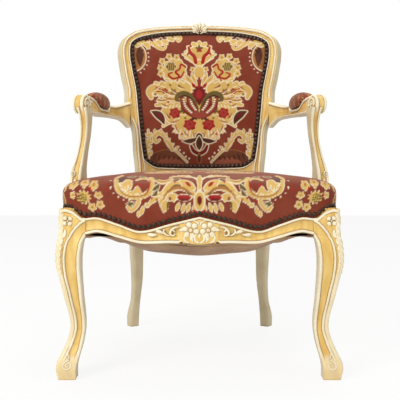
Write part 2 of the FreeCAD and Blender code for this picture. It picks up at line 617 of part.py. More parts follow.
def arm_support(arm_solid):
    """Right arm support: tenoned into the side rail, its head scribed under the knuckle."""
    body = skin([support_section(*s) for s in support_stations()]).cut(arm_solid)
    return max(body.Solids, key=lambda s: s.Volume).fuse(support_tenon())


# Upholstery

def seat_ring(inset, z):
    """Plan outline of the seat at an inset from the frame's faces."""
    radius = max(SEAT_CORNER_RADIUS - 0.35 * inset, 18)
    rear_radius = SEAT_REAR_CORNER_RADIUS
    fx = SEAT_HALF_FRONT - 2 - inset - radius
    front = rail_front(fx) - inset
    sx, sy = SEAT_HALF_FRONT - 2 - inset, -front + radius
    turn = math.sqrt(0.5)
    rear = SEAT_REAR - inset
    rx = side_face(rear - rear_radius) - inset
    mid_y = (sy + rear - rear_radius) / 2
    p = [
        (fx, -front), (fx + radius * turn, sy - radius * turn), (sx, sy), (side_face(mid_y) - inset, mid_y),
        (rx, rear - rear_radius), (rx - rear_radius * (1 - turn), rear - rear_radius * (1 - turn)),
        (rx - rear_radius, rear),
    ]
    r, m = [Vector(x, y, z) for x, y in p], [Vector(-x, y, z) for x, y in p]
    front_middle, rear_middle = Vector(0, -rail_front(0) + inset, z), Vector(0, rear + 6, z)
    arcs = [
        (m[0], front_middle, r[0]), (r[0], r[1], r[2]), (r[2], r[3], r[4]), (r[4], r[5], r[6]),
        (r[6], rear_middle, m[6]), (m[6], m[5], m[4]), (m[4], m[3], m[2]), (m[2], m[1], m[0]),
    ]
    return Part.Wire([Part.Arc(*a).toShape() for a in arcs])


def seat_facets(z, scale=1.0):
    """The seat cover's plan outline cut into straight facets and scaled about its middle."""
    middle_y = (SEAT_REAR - SEAT_CORNER_FRONT) / 2
    points = []
    for side, (edge, count) in enumerate(zip(seat_ring(SKIRT_INSET, z).Edges, (7, 4, 6, 3, 4, 3, 6, 4))):
        for p in edge.discretize(Number=count)[:-1]:
            x = math.copysign(side_face(p.y) - SKIRT_INSET, p.x) if side in (2, 6) else p.x
            points.append((x * scale, middle_y + (p.y - middle_y) * scale, z))
    return points


def seat_dome(inward):
    """Seat's outer form; inward shrinks it evenly for the layers below the cover."""
    reach = (SEAT_HALF_FRONT + (SEAT_REAR + SEAT_CORNER_FRONT) / 2) / 2
    levels = [
        (0, RAIL_BOTTOM + 26 - inward), (0, RAIL_TOP + 12 - inward), (-3, RAIL_TOP + 28 - inward),
        (0, SEAT_EDGE - inward), (9, SEAT_EDGE + 0.24 * SEAT_RISE - inward), (24, SEAT_EDGE + 0.44 * SEAT_RISE - inward),
        (60, SEAT_EDGE + 0.66 * SEAT_RISE - inward), (120, SEAT_EDGE + 0.86 * SEAT_RISE - inward),
        (190, SEAT_EDGE + 0.97 * SEAT_RISE - inward), (255, SEAT_CROWN - inward),
    ]
    return skin([seat_facets(z, 1 - (inset + inward) / reach) for inset, z in levels])


def stile_notch(grow):
    """Space kept clear of upholstery round the right stile, from the seat frame up."""
    inner, outer = STILE_AT_SEAT - 12 - BACK_REBATE_WIDTH - grow, STILE_AT_SEAT + 24
    outline = [(inner, grow), (outer, grow), (outer, -110), (inner, -110)]
    return skin([[back_point(u, v, w) for u, w in outline] for v in (-90, 90)])


def support_notch(grow):
    """Space kept clear of upholstery round the right arm support, from the seat frame up."""
    sections = support_stations()
    foot = (RAIL_TOP - grow,) + sections[0][1:]
    return skin([support_section(*s, grow=grow) for s in [foot] + sections[1:]])


def both(shape):
    return [shape, mirrored(shape)]


def largest(shape):
    return max(shape.Solids, key=lambda s: s.Volume)


def seat_soft():
    """Stuffing and cover of the seat, cut round the stiles and the arm supports."""
    notches = both(stile_notch(CLEAR)) + both(support_notch(CLEAR))
    below = [edge_prism("front", RAIL_BOTTOM - 20, CLEAR)]
    below += both(edge_prism("corner", RAIL_BOTTOM - 20, CLEAR)) + both(edge_prism("side", RAIL_BOTTOM - 20, CLEAR))
    rear = box((1 - REAR_FACE, REAR_FACE - 30, 0), (REAR_FACE - 1, REAR_FACE + 100, RAIL_TOP + HESSIAN + 2 * CLEAR))
    cover = seat_dome(0).cut(seat_dome(COVER))
    cover = largest(cover.cut(notches + below + [rear]))
    floor = box((-500, -500, 0), (500, 500, RAIL_TOP + HESSIAN + 2 * CLEAR))
    stuffing = largest(seat_dome(COVER + CLEAR).cut(notches + [floor]))
    return stuffing, cover


def hessian():
    """Canvas over the springs, tacked along the top of the seat frame."""
    sheet = seat_core(12, RAIL_TOP + CLEAR, RAIL_TOP + CLEAR + HESSIAN)
    return largest(sheet.cut(both(stile_notch(CLEAR)) + both(support_notch(CLEAR))))


def sagged(x, y, edge, sag):
    """Height of a sheet tacked under the seat frame and weighed down in its middle."""
    half_x = side_face(y) - 16
    front, rear = -SEAT_CORNER_FRONT, SEAT_REAR + 14
    share = 2 * (y - front) / (rear - front) - 1
    return edge - sag * max(0.0, 1 - (x / half_x) ** 2) * max(0.0, 1 - share ** 2)


def strap(start, end, height, thickness):
    """Webbing strap between two tacked ends, arched down by its load."""
    run = Vector(end[0] - start[0], end[1] - start[1], 0)
    side = Vector(-run.y, run.x, 0).normalize() * (WEB_WIDTH / 2)
    points = []
    for k in range(9):
        x, y = start[0] + run.x * k / 8, start[1] + run.y * k / 8
        points.append(Vector(x, y, sagged(x, y, height, WEB_SAG)))
    lift = Vector(0, 0, thickness)
    profile = [p - side for p in points] + [p - side + lift for p in reversed(points)]
    return Part.Face(Part.makePolygon(profile + [profile[0]])).extrude(side * 2)


def webbing():
    """Jute straps under the frame, five from front to rear, and five across that lie over them."""
    low = RAIL_BOTTOM - 2 * WEB_THICKNESS - 1
    straps = []
    for k in (-2, -1, 0, 1, 2):
        start = (k * 100.0, -rail_front(k * 100.0) + 18)
        straps.append(strap(start, (k * 66.0, SEAT_REAR + 16 - 3.4 * k * k), low, WEB_THICKNESS))
    for y in (-205.0, -120.0, -35.0, 50.0, 135.0):
        x = side_face(y) - 16
        straps.append(strap((-x, y), (x, y), low + WEB_THICKNESS + 0.8, WEB_THICKNESS))
    return Part.makeCompound(straps)


def bottom_cloth():
    """Canvas tacked under the webbing, bellied down by the springs."""
    edge = RAIL_BOTTOM - 2 * WEB_THICKNESS - 1 - 3 * CLEAR
    front, rear = -SEAT_CORNER_FRONT + 12, SEAT_REAR + 18

    def slice_at(t):
        y = front + (rear - front) * t
        half = side_face(max(y, -SEAT_CORNER_FRONT + LEG_BLOCK)) - 12 - (32 if t == 0 or t == 1 else 0)
        depth = 1 + (BOTTOM_SAG - 1) * (1 - abs(2 * t - 1) ** 2.4)
        places = [k * half / 4 for k in range(-4, 5)]
        top = [(x, y, edge - depth * (1 - (x / half) ** 2)) for x in places]
        return top + [(x, y, z - BOTTOM_CLOTH) for x, y, z in reversed(top)]

    return skin([slice_at(t) for t in (0, 0.1, 0.25, 0.42, 0.58, 0.75, 0.9, 1)])


def spring(x, y):
    """Waisted coil spring with closed ends, of square-faced turns between the webbing and the hessian."""
    rim = [(x + SPRING_RADIUS * math.cos(k), y + SPRING_RADIUS * math.sin(k)) for k in range(7)]
    low = max(sagged(p, q, RAIL_BOTTOM, WEB_SAG) for p, q in rim) + 2 * CLEAR
    high = RAIL_TOP - CLEAR
    steps_per_turn = 7
    steps = SPRING_TURNS * steps_per_turn
    half = SPRING_WIRE / 2
    sections = []
    for k in range(steps + 1):
        share = k / steps
        angle = 2 * math.pi * SPRING_TURNS * share
        radius = SPRING_WAIST + (SPRING_RADIUS - SPRING_WAIST) * abs(2 * share - 1) ** 1.5
        z = low + half + (high - low - SPRING_WIRE) * (share - 0.06 * math.sin(4 * math.pi * share))
        ux, uy = math.cos(angle), math.sin(angle)
        sections.append([(x + (radius + p) * ux, y + (radius + p) * uy, z + q)
                         for p, q in ((-half, -half), (half, -half), (half, half), (-half, half))])
    return skin(sections)


def springs():
    places = [(0, -30), (-115, -130), (115, -130), (-90, 75), (90, 75)]
    return Part.makeCompound([spring(x, y) for x, y in places])


def lower_rail_top(u):
    """Top of the lower back rail at u: its ends rise to round the opening's lower corners."""
    end = STILE_AT_SEAT + 4
    share = min(1.0, abs(u) / end)
    return LOWER_RAIL_TOP + LOWER_CORNER_RISE * max(0.0, (share - LOWER_CORNER_START) / (1 - LOWER_CORNER_START)) ** 2


def back_opening(v):
    """Half width at height v of the opening that the back's upholstery fills."""
    stile = smooth([(60, 156), (99, STILE_AT_SEAT), (136, STILE_AT_SEAT + 6), (202, 179), (228, 182), (288, 189),
                    (333, 199), (CREST_JOINT, 207.5), (402, 210), (421, 208.5), (437, 196), (451, 170), (464, 128),
                    (473, 84), (478, 20)], v)
    climb = (v - LOWER_RAIL_TOP) / LOWER_CORNER_RISE
    if climb >= 1:
        return stile
    corner = LOWER_CORNER_START + (1 - LOWER_CORNER_START) * math.sqrt(max(0.0, climb))
    return min(stile, (STILE_AT_SEAT + 4) * corner)


def crest_edge(u):
    """Height at u of the crest rail's inner edge."""
    return smooth([(0, 478), (60, 475), (95, 471), (128, 464), (160, 455), (180, 447), (194, 438), (203, 430),
                   (210, 405)], abs(u))


def pad_swell(u, v, border):
    """How far the back's pad swells at (u, v): nothing within a flat border, then a full round crown."""
    swell = BACK_CROWN
    for room in (back_opening(v) - abs(u), crest_edge(u) - v, v - lower_rail_top(u)):
        share = min(1.0, max(0.0, (room - border) / BACK_SWELL_RUN))
        swell *= 1 - (1 - share) ** 3
    return swell


def back_layer(levels, margin, rear, front, border=0.0):
    """Layer that fills the back's opening from its rear to its front depth; a border asks for the pad's swell."""
    sections = []
    for v in levels:
        half = back_opening(v) - margin
        inner = half - border
        step = min(BACK_LATTICE, inner / 5)
        face = [-inner] + [k * step for k in range(-4, 5)] + [inner]
        if border:
            face = [-half] + face + [half]
        section = [back_point(u, v, front + (pad_swell(u, v, border + margin) if border else 0)) for u in face]
        section += [back_point(u, v, rear) for u in [half] + [k * step for k in range(4, -5, -1)] + [-half]]
        sections.append(section)
    return skin(sections)


def back_soft():
    """Canvas, pad and outside cloth of the back."""
    levels = (LOWER_RAIL_TOP + 0.9, 68, 76, 88, 120, 180, 250, 315, CREST_JOINT, 405, 423, 437, 447, 456, 464,
              471, 477)
    floor = -BACK_REBATE_DEPTH + CLEAR
    canvas = back_layer(levels, 3 * CLEAR + 1, floor, floor + 1)
    pad = back_layer(levels, 3 * CLEAR, floor + 1 + CLEAR, floor + 1 + CLEAR + COVER, NAIL_HEAD + 1)
    panel = back_layer(levels, 3, -BACK_THICKNESS - CLEAR - HESSIAN, -BACK_THICKNESS - CLEAR)
    return canvas, pad, panel


# Nails

def nail(at, normal):
    """Faceted nail head standing on a surface at a point."""
    n = Vector(*normal).normalize()
    u = n.cross(Vector(0, 0, 1))
    if u.Length < 0.1:
        u = n.cross(Vector(1, 0, 0))
    u.normalize()
    w = n.cross(u)
    rim, tip = [], at + n * NAIL_HEIGHT
    for k in range(6):
        a = math.pi * k / 3
        rim.append(at + (u * math.cos(a) + w * math.sin(a)) * (NAIL_HEAD / 2))
    base = rim[::-1]
    faces = [Part.Face(Part.makePolygon(base + [base[0]]))]
    for k in range(6):
        faces.append(Part.Face(Part.makePolygon([rim[k], rim[(k + 1) % 6], tip, rim[k]])))
    return Part.makeSolid(Part.makeShell(faces))


def along(points, pitch):
    """Points spaced evenly along an open polyline, each with its direction of travel."""
    lengths = [0.0]
    for a, b in zip(points, points[1:]):
        lengths.append(lengths[-1] + (b - a).Length)
    count = max(1, round(lengths[-1] / pitch))
    found = []
    k = 0
    for i in range(count + 1):
        target = lengths[-1] * i / count
        while k < len(points) - 2 and lengths[k + 1] < target:
            k += 1
        a, b = points[k], points[k + 1]
        t = (target - lengths[k]) / (lengths[k + 1] - lengths[k])
        found.append((a + (b - a) * t, (b - a).normalize()))
    return found


def seat_nails():
    """Close-set nails along the lower edge of the seat cover."""
    corners = [Vector(*p) for p in seat_facets(0, 1 + 0.4 / SEAT_HALF_FRONT)]
    path = sorted((p for p in corners if p.x > -1 and p.y < 0), key=lambda p: (p.y > -200, p.x if p.y < -200 else p.y))
    path += sorted((p for p in corners if p.x > 100 and p.y >= 0), key=lambda p: p.y)[:3]
    path = [a + (b - a) * (k / 8) for a, b in zip(path, path[1:]) for k in range(8)] + path[-1:]
    foot = support_stations()[0]
    stile_front = REAR_FACE - 18
    lifted = []
    for p in path:
        z = edge_side(p.y) if p.x > SEAT_HALF_FRONT - 16 or p.y > -SEAT_CORNER_FRONT + LEG_BLOCK else edge_front(p.x)
        lifted.append(Vector(p.x, p.y, z + NAIL_HEAD / 2 + 3.4))
    heads = []
    for i, (at, run) in enumerate(along(lifted, NAIL_PITCH)):
        outward = Vector(run.y, -run.x, 0)
        if foot[2] - 12 < at.y < foot[2] + 48 and at.x > 200 or at.y > stile_front:
            continue
        heads.append(nail(at, outward))
        if i:
            heads.append(mirrored(heads[-1]))
    return Part.makeCompound(heads)


def back_path(levels, margin, w):
    """Polyline up the right half of the back's opening, from its foot to the top centre."""
    course = [(u, lower_rail_top(u) + margin) for u in (0, 60, 100, 122, 136)]
    course += [(back_opening(v) - margin, v) for v in levels]
    course += [(u, v - margin) for u, v in ((170, 451), (128, 465), (69, 475), (0, 479))]
    fine = [(a[0] + (b[0] - a[0]) * k / 6, a[1] + (b[1] - a[1]) * k / 6)
            for a, b in zip(course, course[1:]) for k in range(6)]
    return [Vector(*back_point(u, v, w)) for u, v in fine + course[-1:]]


def back_nails():
    """Nails round the pad on the back's face, from the seat up and over."""
    margin, w = NAIL_HEAD / 2 + 1.2, -BACK_REBATE_DEPTH + 1 + 4.4 * CLEAR + COVER
    heads = []
    for i, (at, run) in enumerate(along(back_path((84, 96, 130, 202, 228, 288, 333, 372, 402, 421, 437), margin, w), 12.2)):
        turn = math.asin(at.x / (BACK_RADIUS - w))
        lean = math.radians(BACK_LEAN)
        normal = (-math.sin(turn), -math.cos(turn) * math.cos(lean), math.cos(turn) * math.sin(lean))
        heads.append(nail(at, normal))
        if i:
            heads.append(mirrored(heads[-1]))
    return Part.makeCompound(heads)


def outside_nails():
    """Nails round the cloth on the outside of the back."""
    margin, w = 9.0, -BACK_THICKNESS - 1.5 * CLEAR - HESSIAN
    heads = []
    for i, (at, run) in enumerate(along(back_path((90, 130, 202, 228, 288, 333, 372, 402, 421, 437), margin, w), 24)):
        turn = math.asin(at.x / (BACK_RADIUS - w))
        lean = math.radians(BACK_LEAN)
        normal = (math.sin(turn), math.cos(turn) * math.cos(lean), -math.cos(turn) * math.sin(lean))
        heads.append(nail(at, normal))
        if i:
            heads.append(mirrored(heads[-1]))
    return Part.makeCompound(heads)


# Corner blocks

def corner_blocks(rails):
    """Glued blocks in the four corners of the seat frame, scribed to the rails and legs round them."""
    low, high = RAIL_BOTTOM + 18, RAIL_TOP - 12
    x, y = SEAT_HALF_FRONT, -SEAT_CORNER_FRONT
    front = [(x - 126, y + 18), (x - 16, y + 18), (x - 16, y + 121), (x - 46, y + 121), (x - 120, y + 36), (x - 126, y + 30)]
    x, y = REAR_HALF, REAR_FACE
    rear = [(x - 106, y), (x - 106, y - 24), (x - 86, y - 40), (x - 16, y - 90), (x + 10, y - 90), (x - 1, y - 50),
            (x - 16, y - 15), (x - 46, y)]
    blocks = []
    for outline in (front, rear):
        solid = Part.Face(ring([(x, y, low) for x, y in outline])).extrude(Vector(0, 0, high - low))
        blocks.append(largest(solid.cut(rails)))
    return blocks


def block_screws():
    """Screws that hold the corner blocks to the rails, drawn as plain faceted pins."""
    pins = []
    z = (RAIL_BOTTOM + RAIL_TOP) / 2 + 3
    for start, direction in (((SEAT_HALF_FRONT - 101, 57 - SEAT_CORNER_FRONT, z), (0, -1, 0)),
                             ((SEAT_HALF_FRONT - 58, 104 - SEAT_CORNER_FRONT, z), (1, 0, 0)),
                             ((REAR_HALF - 71, REAR_FACE - 49, z), (0, 1, 0)),
                             ((REAR_HALF - 29, REAR_FACE - 79, z), (1, 0.36, 0))):
        run = Vector(*direction).normalize()
        side = Vector(-run.y, run.x, 0)
        turns = [(SCREW_RADIUS * math.cos(math.pi * k / 3), SCREW_RADIUS * math.sin(math.pi * k / 3)) for k in range(6)]
        rim = [Vector(*start) + side * p + Vector(0, 0, q) for p, q in turns]
        pins.append(Part.Face(Part.makePolygon(rim + [rim[0]])).extrude(run * SCREW_LENGTH))
    return pins


def arm_pad():
    """Right arm pad: a roll that swells in the middle and thins to both ends."""
    sections = []
    for t in (0, 0.06, 0.2, 0.5, 0.8, 0.94, 1):
        y = PAD_REAR + (PAD_FRONT - PAD_REAR) * t
        inner = smooth([(-PAD_REAR - 4, 241), (0, 241.5), (60, 244), (-PAD_FRONT + 2, 253)], -y)
        centre = inner + ARM_THICKNESS / 2
        fullness = (1 - abs(2 * t - 1) ** 2.6) ** 0.5 if 0 < t < 1 else 0.0
        half = 12 + (PAD_WIDTH / 2 - 12) * fullness
        base = smooth([(0, ARM_TOP - 3), (0.12, ARM_PAD_SEAT + 6), (0.3, ARM_PAD_SEAT + 1), (0.7, ARM_PAD_SEAT + 1),
                       (0.88, ARM_PAD_SEAT + 7), (1, ARM_TOP + 1)], t) + CLEAR
        top = max(base + 5, ARM_TOP + 4 + (PAD_TOP - ARM_TOP - 4) * fullness)
        arch = [(-1, 0.0), (-1.04, 0.35), (-0.86, 0.72), (-0.5, 0.93), (0, 1.0), (0.5, 0.93), (0.86, 0.72), (1.04, 0.35),
                (1, 0.0)]
        sections.append([(centre + s * (half - 1), y, base + h * (top - base)) for s, h in arch])
    return skin(sections)


def main():
    os.makedirs("parts", exist_ok=True)
    leg = front_leg()
    stile = rear_leg()
    side = side_rail(stile)
    arm_right = arm(stile)
    support = arm_support(arm_right)
    side = side.cut(support_tenon(TENON_CLEARANCE))
    parts = {
        "front_rail": front_rail(),
        "rear_rail": rear_rail(stile),
        "crest_rail": crest_rail(),
        "lower_back_rail": lower_back_rail(stile),
        "seat_webbing": webbing(),
        "bottom_cloth": bottom_cloth(),
        "seat_springs": springs(),
        "seat_hessian": hessian(),
        "seat_nails": seat_nails(),
        "back_nails": back_nails(),
        "outside_nails": outside_nails(),
    }
    blocks = corner_blocks([parts["front_rail"], side, parts["rear_rail"], leg, stile])
    pins = block_screws()
    blocks = [b.cut(pins) for b in blocks]
    side, parts["front_rail"] = side.cut(pins), parts["front_rail"].cut(pins + [mirrored(p) for p in pins])
    parts["rear_rail"] = parts["rear_rail"].cut(pins + [mirrored(p) for p in pins])
    parts["block_screws"] = Part.makeCompound(pins + [mirrored(p) for p in pins])
    parts["corner_blocks"] = Part.makeCompound(blocks + [mirrored(b) for b in blocks])
    for name, shape in (("front_leg", leg), ("rear_leg", stile), ("side_rail", side), ("arm", arm_right),
                        ("arm_support", support), ("arm_pad", largest(arm_pad().cut(arm_right)))):
        parts[name + "_right"] = shape
        parts[name + "_left"] = mirrored(shape)
    parts["seat_stuffing"], parts["seat_cover"] = seat_soft()
    parts["back_canvas"], parts["back_pad"], parts["back_outside_cloth"] = back_soft()
    low = min(shape.BoundBox.YMin for shape in parts.values())
    high = max(shape.BoundBox.YMax for shape in parts.values())
    for name, shape in sorted(parts.items()):
        shape.translate(Vector(0, -(low + high) / 2, 0))
        print(name, len(shape.Solids), round(shape.Volume), shape.isValid())
        shape.exportStep("parts/" + name + ".step")


main()
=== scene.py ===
"""The carved armchair dressed for its pictures: painted and gilded frame, figured velvet, nails, light
and camera.
Shapes are worked out in millimetres in the same frame as the CAD source and turned into metres at the
end."""
import math
import bpy
import numpy as np
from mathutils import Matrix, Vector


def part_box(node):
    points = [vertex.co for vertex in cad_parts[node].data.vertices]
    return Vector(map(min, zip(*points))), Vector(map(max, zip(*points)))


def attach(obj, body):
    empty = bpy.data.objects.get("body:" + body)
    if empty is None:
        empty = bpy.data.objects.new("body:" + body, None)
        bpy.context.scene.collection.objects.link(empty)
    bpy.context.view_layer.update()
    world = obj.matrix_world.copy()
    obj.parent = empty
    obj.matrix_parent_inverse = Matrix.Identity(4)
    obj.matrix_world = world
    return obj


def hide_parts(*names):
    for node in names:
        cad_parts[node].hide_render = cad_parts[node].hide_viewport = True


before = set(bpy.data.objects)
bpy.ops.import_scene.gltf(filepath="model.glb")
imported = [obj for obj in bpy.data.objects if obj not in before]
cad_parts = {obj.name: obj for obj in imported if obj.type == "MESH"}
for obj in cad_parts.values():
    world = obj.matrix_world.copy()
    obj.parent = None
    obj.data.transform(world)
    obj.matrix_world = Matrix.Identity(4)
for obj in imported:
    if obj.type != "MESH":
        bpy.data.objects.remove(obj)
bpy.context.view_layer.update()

MM = 0.001
# The camera fitted to the photograph: its eye in mm, and its lens, upright axis and horizon in pixels
EYE_Y, EYE_Z = -2051.0, 520.0
FOCAL_PIXELS, FRAME_PIXELS = 787.0, 400.0
AXIS_PIXEL, HORIZON_PIXEL = 199.5, 148.0
FIGURE_AXIS = 199.2         # the column that the woven figure mirrors about
SHIFT_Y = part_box("front_rail")[0][1] / MM + 304.0     # the row's frame against the design datum

# Driving sizes, the same as in the CAD source
SEAT_HALF_FRONT, SEAT_CORNER_FRONT, LEG_BLOCK = 316.0, 286.0, 60.0
RAIL_TOP, RAIL_THICKNESS, RAIL_BOW = 385.0, 32.0, 20.0
REBATE, FRONT_SHOULDER, SIDE_BOW = 5.5, 60.0, 1.7
REAR_HALF, REAR_FACE = 206.0, 190.0
ARCH_LEVEL = 323.0
BACK_RADIUS, BACK_LEAN, BACK_DATUM_Y, BACK_DATUM_Z = 430.0, math.radians(11.0), 215.0, 400.0
BACK_THICKNESS, BACK_REBATE_WIDTH, BACK_REBATE_DEPTH = 32.0, 14.0, 5.0
INNER_BEAD, MAIN_BEAD, CREST_JOINT = 4.0, 9.0, 372.0
LOWER_RAIL_BOTTOM, LOWER_RAIL_TOP, LOWER_CORNER_RISE, LOWER_CORNER_START = 24.0, 62.0, 30.0, 0.68
STILE_AT_SEAT = 165.0
TOE_OUT_ANGLE = math.radians(20.0)
SCROLL_X, SCROLL_Y, SCROLL_HEIGHT, SCROLL_WIDTH = 268.0, -178.0, 625.0, 28.0
PAD_FRONT, PAD_REAR, PAD_TOP, PAD_WIDTH = -128.0, 62.0, 661.0, 46.0
SEAT_EDGE, SEAT_REAR, SKIRT_INSET = 430.0, 196.0, 3.0
SEAT_MIDDLE_Y = (SEAT_REAR - SEAT_CORNER_FRONT) / 2
SEAT_REACH = (SEAT_HALF_FRONT + (SEAT_REAR + SEAT_CORNER_FRONT) / 2) / 2
BACK_CROWN, BACK_SWELL_RUN, NAIL_HEAD = 24.0, 130.0, 10.6
CLEAR = 0.3

LEG_SIZE = [(0, 40), (30, 45), (78, 37), (118, 33), (190, 42), (262, 53.5), (305, 56), (ARCH_LEVEL, 60)]
LEG_SWING = [(0, 2), (30, 6), (78, -14), (118, -22.5), (190, -8), (262, 6.5), (305, 5), (ARCH_LEVEL, 1)]
EAR = [(0, 378), (8, 382.5), (16, 384), (34, 377), (50, 364), (60, 362)]
RAIL_TOPS = [(0, 367), (66, 351), (132, 335), (180, 349.5), (228, 364), (256, 362)]
RAIL_LOWS = [(0, 305.5), (66, 308.5), (132, 307.5), (180, 319.25), (228, 331), (256, 326)]
SIDE_TOPS = [(0, 363), (0.12, 363), (0.5, 343), (1, 356)]
SIDE_LOWS = [(0, 328), (0.12, 331), (0.5, 312), (1, 322)]
STILE_INNER = [(0, 153), (60, 158), (99, 165), (136, 171), (202, 179), (228, 182), (288, 189),
    (333, 199), (372, 207.5)]
STILE_OUTER = [(0, 178), (60, 180), (100, 185), (150, 189), (175, 193), (205, 206), (240, 213),
               (262, 214), (283, 215),
               (320, 224), (372, 234)]
OPENING = [(60, 156), (99, 165), (136, 171), (202, 179), (228, 182), (288, 189), (333, 199),
           (372, 207.5), (402, 210),
           (421, 208.5), (437, 196), (451, 170), (464, 128), (473, 84), (478, 20)]
CREST_EDGE = [(0, 478), (60, 475), (95, 471), (128, 464), (160, 455), (180, 447), (194, 438),
    (203, 430), (210, 405)]

CREAM, GOLD, GROOVE, PLAIN = (0, 0, 0, 1), (1, 0, 0, 1), (0, 1, 0, 1), (0, 0, 1, 1)


def srgb(r, g, b):
    """Linear colour of an sRGB one given in 0 to 255."""
    return tuple(((c / 255 + 0.055) / 1.055) ** 2.4 for c in (r, g, b))


def smooth(knots, at):
    """Values at places on the curve through (place, value) knots, with a Catmull-Rom slope at each knot."""
    knots = np.asarray(knots, float)
    x, v = knots[:, 0], knots[:, 1]
    k = np.arange(len(x))
    low, high = np.maximum(k - 1, 0), np.minimum(k + 1, len(x) - 1)
    slope = (v[high] - v[low]) / (x[high] - x[low])
    at = np.clip(np.asarray(at, float), x[0], x[-1])
    i = np.clip(np.searchsorted(x, at, side="right") - 1, 0, len(x) - 2)
    span, rise = x[i + 1] - x[i], v[i + 1] - v[i]
    t = (at - x[i]) / span
    bend, unbend = slope[i] * span - rise, rise - slope[i + 1] * span
    return v[i] + rise * t + t * (1 - t) * (bend * (1 - t) + unbend * t)


def refine(stations, step, by):
    """Rows spaced by about step along the smooth curve through stations, measured by some of their
    columns."""
    rows = np.array(stations, float)
    run = np.concatenate([[0], np.cumsum(np.linalg.norm(np.diff(rows[:, by], axis=0), axis=1))])
    at = np.linspace(0, run[-1], max(2, int(run[-1] / step)) + 1)
    return np.column_stack([smooth(np.column_stack([run, column]), at) for column in rows.T])


def beside(points, path):
    """Distance of points from an open polyline, positive on its left."""
    best, sign = np.full(len(points), 1e9), np.ones(len(points))
    path = np.asarray(path, float)
    for a, b in zip(path[:-1], path[1:]):
        run = b - a
        t = np.clip(((points - a) @ run) / (run @ run), 0, 1)
        gap = points - (a + t[:, None] * run)
        far = np.hypot(gap[:, 0], gap[:, 1])
        left = run[0] * (points[:, 1] - a[1]) - run[1] * (points[:, 0] - a[0])
        near = far < best
        best[near], sign[near] = far[near], np.where(left[near] < 0, -1, 1)
    return best * sign


def unit(vectors):
    return vectors / np.maximum(np.linalg.norm(vectors, axis=-1, keepdims=True), 1e-9)


class Clay:
    """A piece in the making: closed shells of points in millimetres, each point with four paint values."""

    def __init__(self):
        self.points, self.paint, self.quads, self.tris, self.count = [], [], [], [], 0

    def shell(self, points, quads, tris, paint):
        quads, tris = np.asarray(quads, int).reshape(-1, 4), np.asarray(tris, int).reshape(-1, 3)
        flat = np.vstack([tris, quads[:, :3], quads[:, [0, 2, 3]]])
        a, b, c = (points[flat[:, k]] for k in range(3))
        if np.einsum("ij,ij->", a, np.cross(b, c)) < 0:
            quads, tris = quads[:, ::-1], tris[:, ::-1]
        self.points.append(points)
        self.paint.append(np.array(np.broadcast_to(paint, (len(points), 4)), float))
        self.quads.append(quads + self.count)
        self.tris.append(tris + self.count)
        self.count += len(points)

    def loft(self, rows, paint):
        """Skin over rows of closed rings, fanned shut at both ends; paint is one value or one for each
        point."""
        m, n = rows.shape[:2]
        index = np.arange(m * n).reshape(m, n)
        ahead = np.roll(index, -1, axis=1)
        quads = np.stack([index[:-1], ahead[:-1], ahead[1:], index[1:]], axis=-1)
        first = np.stack([ahead[0], index[0], np.full(n, m * n)], axis=-1)
        last = np.stack([index[-1], ahead[-1], np.full(n, m * n + 1)], axis=-1)
        points = np.vstack([rows.reshape(-1, 3), rows[0].mean(0)[None], rows[-1].mean(0)[None]])
        if np.ndim(paint) == 3:
            paint = np.vstack([paint.reshape(-1, 4), paint[0].mean(0)[None], paint[-1].mean(0)[None]])
        self.shell(points, quads, np.vstack([first, last]), paint)

    def piece(self, name, material, slot, nodes=(), flip=False, crease=38.0, body="root"):
        """The finished object. flip mirrors it to the other side of the chair."""
        points, paint = np.vstack(self.points), np.vstack(self.paint)
        quads, tris = np.vstack(self.quads), np.vstack(self.tris)
        points = points * (-1, 1, 1) if flip else points
        if flip:
            quads, tris = quads[:, ::-1], tris[:, ::-1]
        mesh = bpy.data.meshes.new(name)
        mesh.vertices.add(len(points))
        mesh.vertices.foreach_set("co", ((points + (0, SHIFT_Y, 0)) * MM).ravel())
        mesh.loops.add(quads.size + tris.size)
        mesh.loops.foreach_set("vertex_index", np.concatenate([quads.ravel(), tris.ravel()]))
        mesh.polygons.add(len(quads) + len(tris))
        starts = np.concatenate([np.arange(len(quads)) * 4, quads.size + np.arange(len(tris)) * 3])
        mesh.polygons.foreach_set("loop_start", starts)
        mesh.update()
        mesh.validate()
        layer = mesh.color_attributes.new("tone", "FLOAT_COLOR", "POINT")
        layer.data.foreach_set("color", paint.ravel())
        mesh.polygons.foreach_set("use_smooth", np.ones(len(mesh.polygons), bool))
        mesh.set_sharp_from_angle(angle=math.radians(crease))
        mesh.materials.append(material)
        obj = bpy.data.objects.new(name, mesh)
        bpy.context.scene.collection.objects.link(obj)
        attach(obj, body)
        if nodes:
            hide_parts(*nodes)
        return obj

    def pair(self, name, material, slot, node=None, **more):
        """The right piece and its mirror image, each in place of the CAD node of its side."""
        return [self.piece(name + side, material, slot, (node + side,) if node else (), flip, **more)
                for side, flip in (("_right", False), ("_left", True))]


# Surfaces that the pieces are drawn on

def rail_front(x):
    return SEAT_CORNER_FRONT - 2 + RAIL_BOW * (1 - (x / (SEAT_HALF_FRONT - FRONT_SHOULDER)) ** 2)


def side_face(y):
    front = LEG_BLOCK - SEAT_CORNER_FRONT
    t = np.maximum(0.0, (np.asarray(y, float) - front) / (REAR_FACE - front))
    return SEAT_HALF_FRONT - 2 - (SEAT_HALF_FRONT - 2 - REAR_HALF) * t ** SIDE_BOW


